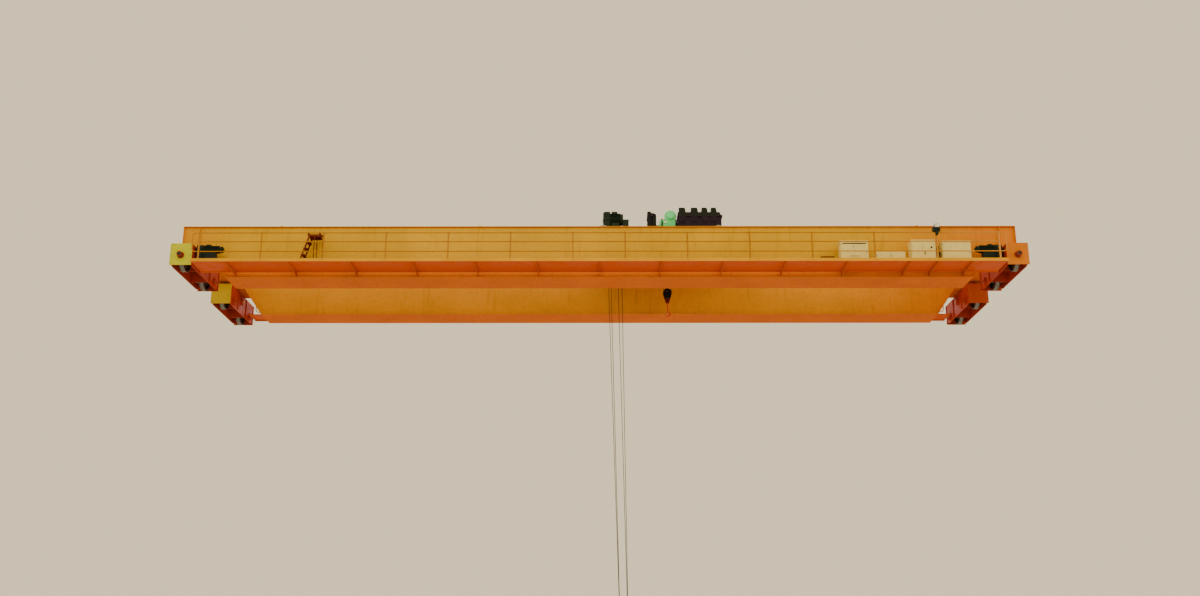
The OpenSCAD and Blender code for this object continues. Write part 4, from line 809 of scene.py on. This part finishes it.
# trolley frame: axle caps, deck bolts, seams and buffers
WHEEL_XS = (TROLLEY_LEFT + 0.25, TROLLEY_RIGHT - 0.25)
CAP_Y, CAP_Z = 1.71, 2.0953
p = Piece("trolley_frame_fasteners", "trolley", "zinc")
q = Piece("trolley_frame_seams", "trolley", "amber", "amber")
for side in (-1, 1):
    for x in WHEEL_XS:
        p.bolt_circle((x, side * CAP_Y, CAP_Z), (0, side, 0), 0.062, 6, 0.012)
        q.disc_ring((x, side * CAP_Y, CAP_Z), (0, side, 0), 0.043, 0.078, 0.004, 32)
    for k in range(15):
        x = TROLLEY_LEFT + 0.6 + k * 0.28
        if not (2.95 < x < 4.4 and side < 0):       # none under the reducer
            p.bolt((x, side * 1.37, DECK_Z), UP, 0.014)
    for z in (DECK_Z - 0.4, DECK_Z - 0.012):
        for y in (1.1595, 1.4005):
            q.tube([(x, side * y, z) for x in (TROLLEY_LEFT, TROLLEY_RIGHT)], 0.005, 6)
    for x in (TROLLEY_LEFT - 0.085, TROLLEY_RIGHT + 0.085):
        q.ring((x, side * RAIL_Y, BUFFER_Z), SPAN, 0.058, 0.004, 28, 6)
p.done()
q.done()
p = Piece("trolley_buffer_faces", "trolley", "rubber")
for y in (-RAIL_Y, RAIL_Y):
    for x, d in ((TROLLEY_LEFT - 0.09, -1), (TROLLEY_RIGHT + 0.09, 1)):
        p.cyl((x - d * 0.001, y, BUFFER_Z), (x + d * 0.008, y, BUFFER_Z), 0.052, 28, chamfer=0.003)
p.done()

# trolley drives: gear case bolts, fan guards, box lids and brake caps
p = Piece("trolley_drive_fasteners", "trolley", "dark_bolt")
q = Piece("trolley_drive_details", "trolley", "dark_machine", "dark_machine")
case_x, motor_x, axis_z, mid_y = 0.145, 0.4, 2.72, 1.02
for side in (-1, 1):
    y = side * mid_y
    for x, zs in ((case_x + 0.001, [2.4]), (case_x, (2.45, 2.6, 2.75, 2.9))):
        p.bolts([x], (y - 0.1, y + 0.1), zs, (-1, 0, 0), 0.012)
    p.bolt_circle((case_x + 0.13, side * 1.16, 2.85), (0, side, 0), 0.07, 6, 0.012)
    q.disc_ring((case_x + 0.13, side * 1.1598, 2.85), (0, side, 0), 0.03, 0.055, 0.014, 28)
    for k in range(4):
        q.ring((motor_x + 0.466, y, axis_z), SPAN, 0.06 + k * 0.04, 0.006, 32, 6)
    q.ring((motor_x + 0.37, y, axis_z), SPAN, 0.216, 0.006, 40, 6)
    q.slab((motor_x + 0.055, y - 0.115, 2.982), (motor_x + 0.265, y + 0.115, 2.996), 0.003)
    p.bolts((motor_x + 0.075, motor_x + 0.245), (y - 0.095, y + 0.095), [2.996], UP, 0.009)
    q.slab((motor_x + 0.468, y - 0.155, 2.64), (motor_x + 0.68, y + 0.155, 2.655), 0.003)
    q.cyl((motor_x + 0.56, y, 2.674), (motor_x + 0.56, y, 2.71), 0.07, 28, chamfer=0.006)
    p.bolts((motor_x + 0.49, motor_x + 0.65), (y - 0.12, y + 0.12), [2.675], UP, 0.012)
p.done()
q.done()

# main reducer: flange, cap and foot bolts, lids, lifting eyes
RED_X0, RED_X1, SPLIT, COVER = 2.84, 4.44, 2.73, 2.887
near_y, far_y = -1.35, 0.25
p = Piece("reducer_fasteners", "trolley", "dark_bolt")
q = Piece("reducer_details", "trolley", "gear_case", "gear_case")
for d in (-1, 1):
    p.bolts([RED_X0 + 0.06 + k * 0.15 for k in range(11)], (near_y - 0.018, far_y + 0.018),
            [SPLIT + d * 0.03], (0, 0, d), 0.014)
p.bolts([RED_X1 + 0.018], [near_y + 0.08 + k * 0.16 for k in range(10)], [SPLIT + 0.03], UP, 0.014)
for dx in (0.18, 0.62, 1.0, 1.32):
    for y, a in ((near_y - 0.03, -1), (far_y + 0.03, 1)):
        at = (RED_X0 + dx, y, SPLIT - 0.11)
        q.disc_ring(at, (0, a, 0), 0.0, 0.055, 0.012, 28)
        p.bolt_circle(at, (0, a, 0), 0.095, 8, 0.012, 0.2)
for dx, w in ((0.06, 0.24), (0.5, 0.25), (0.89, 0.21), (1.23, 0.2)):
    x = RED_X0 + dx
    q.slab((x + 0.03, -1.24, 3.0855), (x + w - 0.05, -0.9, 3.0955), 0.003)
    p.bolts((x + 0.045, x + w - 0.065), (-1.22, -0.92), [3.0955], UP, 0.01)
x = RED_X0 + 0.75
q.cyl((x, -0.4, COVER - 0.001), (x, -0.4, COVER + 0.05), 0.05, 24, chamfer=0.006)
q.slab((RED_X0 + 0.35, -0.25, COVER - 0.001), (x, 0.05, COVER + 0.016), 0.004)
for x in (RED_X0 + 0.2, RED_X0 + 1.3):
    for y in (-0.62, 0.12):
        q.ring((x, y, COVER + 0.03), RUNWAY, 0.035, 0.009, 24, 8)
p.bolts([RED_X0 + 0.1 + k * 0.27 for k in range(6)], (near_y - 0.025, far_y + 0.025),
        [DECK_Z + 0.05], UP, 0.022)
p.done()
q.done()

# main motor with its blower
HOIST_Y, MOTOR_Z = -1.0, 2.48
BLOW_X, BLOW_Z = 2.6, 2.8
p = Piece("main_motor_details", "trolley", "light_green", "light_green")
for y in (-1.172, -0.828):
    p.ring((BLOW_X, y, BLOW_Z), RUNWAY, 0.212, 0.007, 48, 6)
p.ring((2.254, HOIST_Y, MOTOR_Z), SPAN, 0.214, 0.006, 44, 6)
p.rings((BLOW_X, -1.252, BLOW_Z), RUNWAY, 0.03, 0.035, 3, 0.004)
p.done()
p = Piece("main_motor_fasteners", "trolley", "zinc")
p.bolt_circle((BLOW_X, -1.17, BLOW_Z), (0, -1, 0), 0.19, 10, 0.012)
p.bolt_circle((2.2, HOIST_Y, MOTOR_Z), (-1, 0, 0), 0.17, 8, 0.014)
p.bolts((2.31, 2.66), (-1.26, -0.74), [DECK_Z + 0.06], UP, 0.02, washer=False)
p.done()
p = Piece("main_motor_windows", "trolley", "black_metal")
for first in (40, 100, 160):
    turns = [math.radians(first + i * 7) for i in range(7)]
    p.tube([(2.29, HOIST_Y + 0.252 * math.cos(a), MOTOR_Z + 0.252 * math.sin(a)) for a in turns],
           0.028, 8)
p.ring((2.8, HOIST_Y, MOTOR_Z), SPAN, 0.108, 0.012, 36, 8)
p.cyl((2.752, HOIST_Y, MOTOR_Z), (2.838, HOIST_Y, MOTOR_Z), 0.114, 36, chamfer=0.006)
p.slab((2.762, HOIST_Y - 0.16, DECK_Z), (2.83, HOIST_Y + 0.16, 2.66), 0.02)
p.done()
p = Piece("main_motor_plates", "trolley", "cream_pale")
p.slab((2.36, -1.262, 2.5), (2.47, -1.2485, 2.57), 0.002)
p.slab((2.33, -1.17, 2.655), (2.39, -1.12, 2.7), 0.004)
p.done()

# main brake: bolts on its arms, linings, and bands round the thruster
BRAKE_X = 1.91
p = Piece("main_brake_details", "trolley", "dark_bolt")
for f in (-1, 1):
    p.bolts([BRAKE_X], [HOIST_Y + f * 0.255], [DECK_Z + h for h in (0.1, 0.32, 0.55)], (0, f, 0))
    p.bolts((BRAKE_X - 0.14, BRAKE_X + 0.14), [HOIST_Y + f * 0.32], [DECK_Z + 0.03], UP, 0.018)
    p.cyl((BRAKE_X, HOIST_Y + f * 0.296, 2.76), (BRAKE_X, HOIST_Y + f * 0.33, 2.76), 0.03, 6)
p.done()
p = Piece("main_brake_linings", "trolley", "brown")
for f in (-1, 1):
    p.slab((BRAKE_X - 0.05, HOIST_Y + f * 0.152, 2.38),
           (BRAKE_X + 0.05, HOIST_Y + f * 0.146, 2.58), 0.002)
for h in (0.72, 0.78):
    p.ring((BRAKE_X - 0.08, -1.06, DECK_Z + h), UP, 0.076, 0.005, 28, 6)
p.done()


# drums and the rope on them
def helix(piece, x0, x1, y, z, radius, r, pitch, n=22, k=7):
    """Turns of rope round a drum that lies along the span."""
    count = int((x1 - x0) / pitch * n)
    piece.tube([(x0 + (x1 - x0) * i / count, y + radius * math.cos(2 * math.pi * i / n),
                 z + radius * math.sin(2 * math.pi * i / n)) for i in range(count + 1)], r, k)


DRUM_Y, DRUM_Z = -0.1, 2.5
AUX_Y, AUX_Z = 1.02, 2.46
p = Piece("main_drum_rope", "main_drum", "rope", "steel")
helix(p, 0.16, 0.40, DRUM_Y, DRUM_Z, 0.280, MAIN_ROPE_R, 0.04)
helix(p, 0.82, 1.9, DRUM_Y, DRUM_Z, 0.280, MAIN_ROPE_R, 0.04)
p.done()
p = Piece("main_drum_clamps", "main_drum", "zinc")
for x in (0.19, 0.27, 2.45, 2.55):
    for a in (40, 54, 68):
        y = DRUM_Y + math.cos(math.radians(a)) * 0.275
        z = DRUM_Z + math.sin(math.radians(a)) * 0.275
        p.slab((x - 0.02, y - 0.016, z - 0.016), (x + 0.02, y + 0.016, z + 0.016), 0.004)
for x, a in ((0.12, -1), (2.7, 1)):
    p.bolt_circle((x, DRUM_Y, DRUM_Z), (a, 0, 0), 0.2, 12, 0.018)
p.done()
p = Piece("aux_drum_rope", "aux_drum", "rope", "steel")
helix(p, 2.44, 2.95, AUX_Y, AUX_Z, 0.173, AUX_ROPE_R, 0.03, 20, 6)
p.done()
p = Piece("aux_drum_clamps", "aux_drum", "zinc")
for x, a in ((2.0, -1), (3.05, 1)):
    p.bolt_circle((x, AUX_Y, AUX_Z), (a, 0, 0), 0.12, 8, 0.012)
p.done()

p = Piece("rope_support_fasteners", "trolley", "zinc")
p.bolts((TROLLEY_LEFT + 0.02, TROLLEY_LEFT + 0.08), (-0.27, 0.07), [2.52], UP, 0.014)
for y0, y1 in ((0.722, 0.745), (0.638, 0.615)):
    p.cyl((0.482, y0, DRUM_Z), (0.482, y1, DRUM_Z), 0.04, 6)
p.bolt_circle((TROLLEY_LEFT, DRUM_Y, DRUM_Z), (-1, 0, 0), 0.1, 6, 0.014)
p.done()
p = Piece("aux_rope_socket", "trolley", "zinc")
p.cyl((2.72, 0.8107, 2.4575), (2.72, 0.8107, 2.38), 0.018, 16, r2=0.011)
p.done()

# auxiliary hoist: gear case and motor
p = Piece("aux_hoist_fasteners", "trolley", "zinc")
p.bolts([3.13 + k * 0.09 for k in range(4)], (AUX_Y - 0.19, AUX_Y + 0.19), [2.475], UP, 0.01)
for f in (-1, 1):
    p.bolt_circle((3.275, AUX_Y + f * 0.21, AUX_Z), (0, f, 0), 0.085, 6, 0.012)
p.bolt_circle((4.1, AUX_Y, AUX_Z), SPAN, 0.1, 4, 0.01)
p.bolts([1.83], (AUX_Y - 0.13, AUX_Y + 0.13), [DECK_Z + 0.025], UP, 0.014)
p.done()
p = Piece("aux_hoist_details", "trolley", "light_green", "light_green")
p.rings((4.102, AUX_Y, AUX_Z), SPAN, 0.03, 0.035, 4, 0.004)
p.ring((4.01, AUX_Y, AUX_Z), SPAN, 0.156, 0.006, 40, 6)
p.slab((3.595, 0.925, 2.687), (3.805, 1.115, 2.697), 0.002)
p.done()


# blocks and hooks
def block_details(block, at, axis, half_w, head_z, head_w, pin_r):
    """Bolts and a pin lock on both cheeks of a block whose sheaves turn about at."""
    c, a = Vector(at), Vector(axis)
    side = Vector((-a.y, a.x, 0))
    p = Piece(f"{block}_fasteners", block, "zinc")
    for f in (-1, 1):
        face = c + a * f * half_w
        lock = face + side * (pin_r * 0.6)
        p.slab(lock + Vector((0, 0, pin_r * 0.9)) - a * 0.001 * f - side * 0.03,
               lock + Vector((0, 0, pin_r * 1.3)) + a * 0.012 * f + side * 0.03, 0.002)
        for height, apart, d in ((head_z * 0.55, 0.35, 0.014), (head_z + 0.03, 0.36, 0.012)):
            for way in (-apart, apart):
                p.bolt(face + Vector((0, 0, height)) + side * head_w * way, a * f, d)
    p.done()


block_details("main_block", (*MAIN_AT, MAIN_SHEAVE_Z), SPAN, 0.209, -0.43, 0.22, 0.05)
block_details("aux_block", (*AUX_AT, AUX_SHEAVE_Z), RUNWAY, 0.066, -0.41, 0.11, 0.03)


def forged_hook(name, x, y, bowl_z, bowl, shank, top, nut_z):
    """A forged hook swept with an oval section, under a round shank with a hexagon nut."""
    def along(t):
        """Place and half widths at t along the bowl, 0 at its top and 1 at the tip."""
        r, a = bowl * (1.45 - 0.15 * t), math.radians(90 - BOWL_TURN * t)
        thick = bowl * (0.42 + 0.30 * math.sin(math.pi * min(1, t * 1.25)) - 0.22 * t * t)
        return r * math.cos(a), r * math.sin(a), thick, 0.75 * thick

    joined = 60 / BOWL_TURN         # where the neck runs into the bowl
    end = along(joined)
    neck = 0.92 * shank
    corners = [(0, 2.2 * bowl), (0, 1.55 * bowl), (end[0] - 0.275 * bowl, end[1] + 0.476 * bowl),
               end[:2]]
    stations = [(0, top - bowl_z, shank, shank), (0, 2.7 * bowl, shank, shank),
                (0, 2.5 * bowl, neck, neck)]
    for i in range(13):
        t = i / 12
        k = [(1 - t) ** 3, 3 * t * (1 - t) ** 2, 3 * t * t * (1 - t), t ** 3]
        px, pz = [sum(w * c[j] for w, c in zip(k, corners)) for j in (0, 1)]
        ease = t * t * (3 - 2 * t)
        stations.append((px, pz, neck + (end[2] - neck) * ease, neck + (end[3] - neck) * ease))
    stations += [along(joined + (1 - joined) * i / 44) for i in range(1, 45)]
    tx, tz, tip, _ = stations[-1]
    a = math.radians(90 - BOWL_TURN)
    for out, r in ((0.45, 0.88), (0.75, 0.64), (0.93, 0.32), (0.99, 0.06)):
        stations.append((tx + math.sin(a) * tip * out, tz - math.cos(a) * tip * out,
                         tip * r, 0.75 * tip * r))
    n, verts = 24, []
    for i, (px, pz, across, deep) in enumerate(stations):
        before, after = stations[max(i - 1, 0)], stations[min(i + 1, len(stations) - 1)]
        run = Vector((after[0] - before[0], after[1] - before[1])).normalized()
        for k in range(n):
            b = 2 * math.pi * k / n
            verts.append((x + px - run[1] * math.cos(b) * across, y + math.sin(b) * deep,
                          bowl_z + pz + run[0] * math.cos(b) * across))
    last = (len(stations) - 1) * n
    faces = [(i + k, i + n + k, i + n + (k + 1) % n, i + (k + 1) % n)
             for i in range(0, last, n) for k in range(n)]
    faces += [tuple(range(n)), tuple(range(last, last + n))[::-1]]
    p = Piece(f"{name}_forging", name, "hook_red", "hook_red")
    p.add(verts, faces)
    p.cyl((x, y, nut_z), (x, y, nut_z + 0.07), 1.7 * shank, 6, chamfer=0.004)
    p.cyl((x, y, nut_z + 0.0695), (x, y, nut_z + 0.078), 0.8 * shank, 28, chamfer=0.003)
    p.done(replaces=[name])


def latch(name, x, y, bowl_z, bowl):
    """A bent wire across a hook's mouth."""
    p = Piece(f"{name}_latch", name, "zinc")
    for f in (-1, 1):
        p.tube([(x + bowl * dx, y + f * bowl * dy, bowl_z + bowl * dz) for dx, dy, dz in
                ((0.25, 0.2, 1.35), (-0.6, 0.2, 1.05), (-1.28, 0.12, 0.55))], bowl * 0.06, 8)
    p.tube([(x - bowl * 0.9, y + f * bowl * 0.2, bowl_z + bowl * 0.85) for f in (-1, 1)],
           bowl * 0.05, 8)
    p.done()


BOWL_TURN = 285                     # degrees from the bowl's top round to the tip
MAIN_BOWL = ("main_hook", *MAIN_AT, -12.11, 0.085)
AUX_BOWL = ("aux_hook", *AUX_AT, -0.3, 0.06)
forged_hook(*MAIN_BOWL, 0.05, -11.7, -11.7197)
forged_hook(*AUX_BOWL, 0.028, 0.22, 0.2003)
latch(*MAIN_BOWL)
latch(*AUX_BOWL)


# ropes, each fall from its drum or anchor to its sheave
def rope_piece(name, block, falls, r, replaced):
    """Straight falls, baked in place instead of riding on a body."""
    p = Piece(name, "trolley", "rope", "steel")
    for a, b in falls:
        p.tube([a, b], r, 12)
    top, bottom = falls[0]
    p.done(replaces=[replaced], blend=("trolley", block, top, (*top[:2], bottom[2])))


MAIN_FALL_XS = (0.713, 0.993)
FALLS = ((0.1803, (0.393, 0.819)), (0.6803, (0.295, 0.669)))
rope_piece("main_hoist_ropes", "main_block",
           [((x_top, y, DRUM_Z), (x, y, MAIN_SHEAVE_Z))
            for y, tops in FALLS for x_top, x in zip(tops, MAIN_FALL_XS)], MAIN_ROPE_R, "main_ropes")
rope_piece("aux_hoist_ropes", "aux_block",
           [((2.42, AUX_AT[1], AUX_Z), (2.42, AUX_AT[1], AUX_SHEAVE_Z)),
            ((2.72, 0.8107, AUX_Z), (2.72, AUX_AT[1], AUX_SHEAVE_Z))], AUX_ROPE_R, "aux_ropes")

p = Piece("main_block_rope_wraps", "main_block", "rope", "steel")
for x in MAIN_FALL_XS:
    p.tube([(x, MAIN_AT[1] - 0.25 * math.cos(a), MAIN_SHEAVE_Z - 0.25 * math.sin(a))
            for a in [math.pi * i / 36 for i in range(37)]], MAIN_ROPE_R, 12)
p.done()
p = Piece("aux_block_rope_wrap", "aux_block", "rope", "steel")
p.tube([(AUX_AT[0] - 0.15 * math.cos(a), AUX_AT[1], AUX_SHEAVE_Z - 0.15 * math.sin(a))
        for a in [math.pi * i / 30 for i in range(31)]], AUX_ROPE_R, 12)
p.done()

# floor, light and camera
FLOOR_Z, FLOOR_HALF = -15.2, 300
floor_mesh = bpy.data.meshes.new("floor_plane")
floor_mesh.from_pydata([(x * FLOOR_HALF, y * FLOOR_HALF, FLOOR_Z)
                        for x, y in ((-1, -1), (1, -1), (1, 1), (-1, 1))], [], [(0, 1, 2, 3)])
floor = bpy.data.objects.new("floor_plane", floor_mesh)
bpy.context.scene.collection.objects.link(floor)
floor_look = Nodes("floor_grey")
floor_look.link(floor_look.mix(floor_look.noise(0.4, 3), linear(214, 212, 206), linear(226, 224, 219)),
                floor_look.shader.inputs["Base Color"])
floor_look.shader.inputs["Roughness"].default_value = 0.7
floor_mesh.materials.append(floor_look.material)

world = bpy.data.worlds.new("studio")
bpy.context.scene.world = world
world.use_nodes = True
world.node_tree.nodes["Background"].inputs["Color"].default_value = (1.0, 0.83, 0.53, 1)
world.node_tree.nodes["Background"].inputs["Strength"].default_value = 1.1


def area_light(name, location, target, size, power, colour):
    data = bpy.data.lights.new(name, "AREA")
    data.shape, data.size, data.energy, data.color = "DISK", size, power, colour
    obj = bpy.data.objects.new(name, data)
    bpy.context.scene.collection.objects.link(obj)
    obj.location = location
    obj.rotation_euler = (Vector(target) - Vector(location)).to_track_quat("-Z", "Y").to_euler()


area_light("key", (-8, -40, 16), (0, 0, 0), 18, 3400, (1.0, 0.93, 0.76))
area_light("right", (34, -12, 8), (2, 0, 0), 14, 2000, (1.0, 0.7, 0.4))
area_light("back", (0, 34, 20), (0, 0, 0), 20, 4000, (1.0, 0.97, 0.9))

camera_data = bpy.data.cameras.new("photo_camera")
camera_data.sensor_width = 36
camera_data.lens = 32.609
camera_data.shift_y = 0.08
camera_data.clip_end = 500
camera = bpy.data.objects.new("photo_camera", camera_data)
bpy.context.scene.collection.objects.link(camera)
camera.location = (0.106, -38.098, -13.187)
camera.rotation_euler = (math.radians(90 + 14.125), 0, math.radians(0.121))
bpy.context.scene.camera = camera
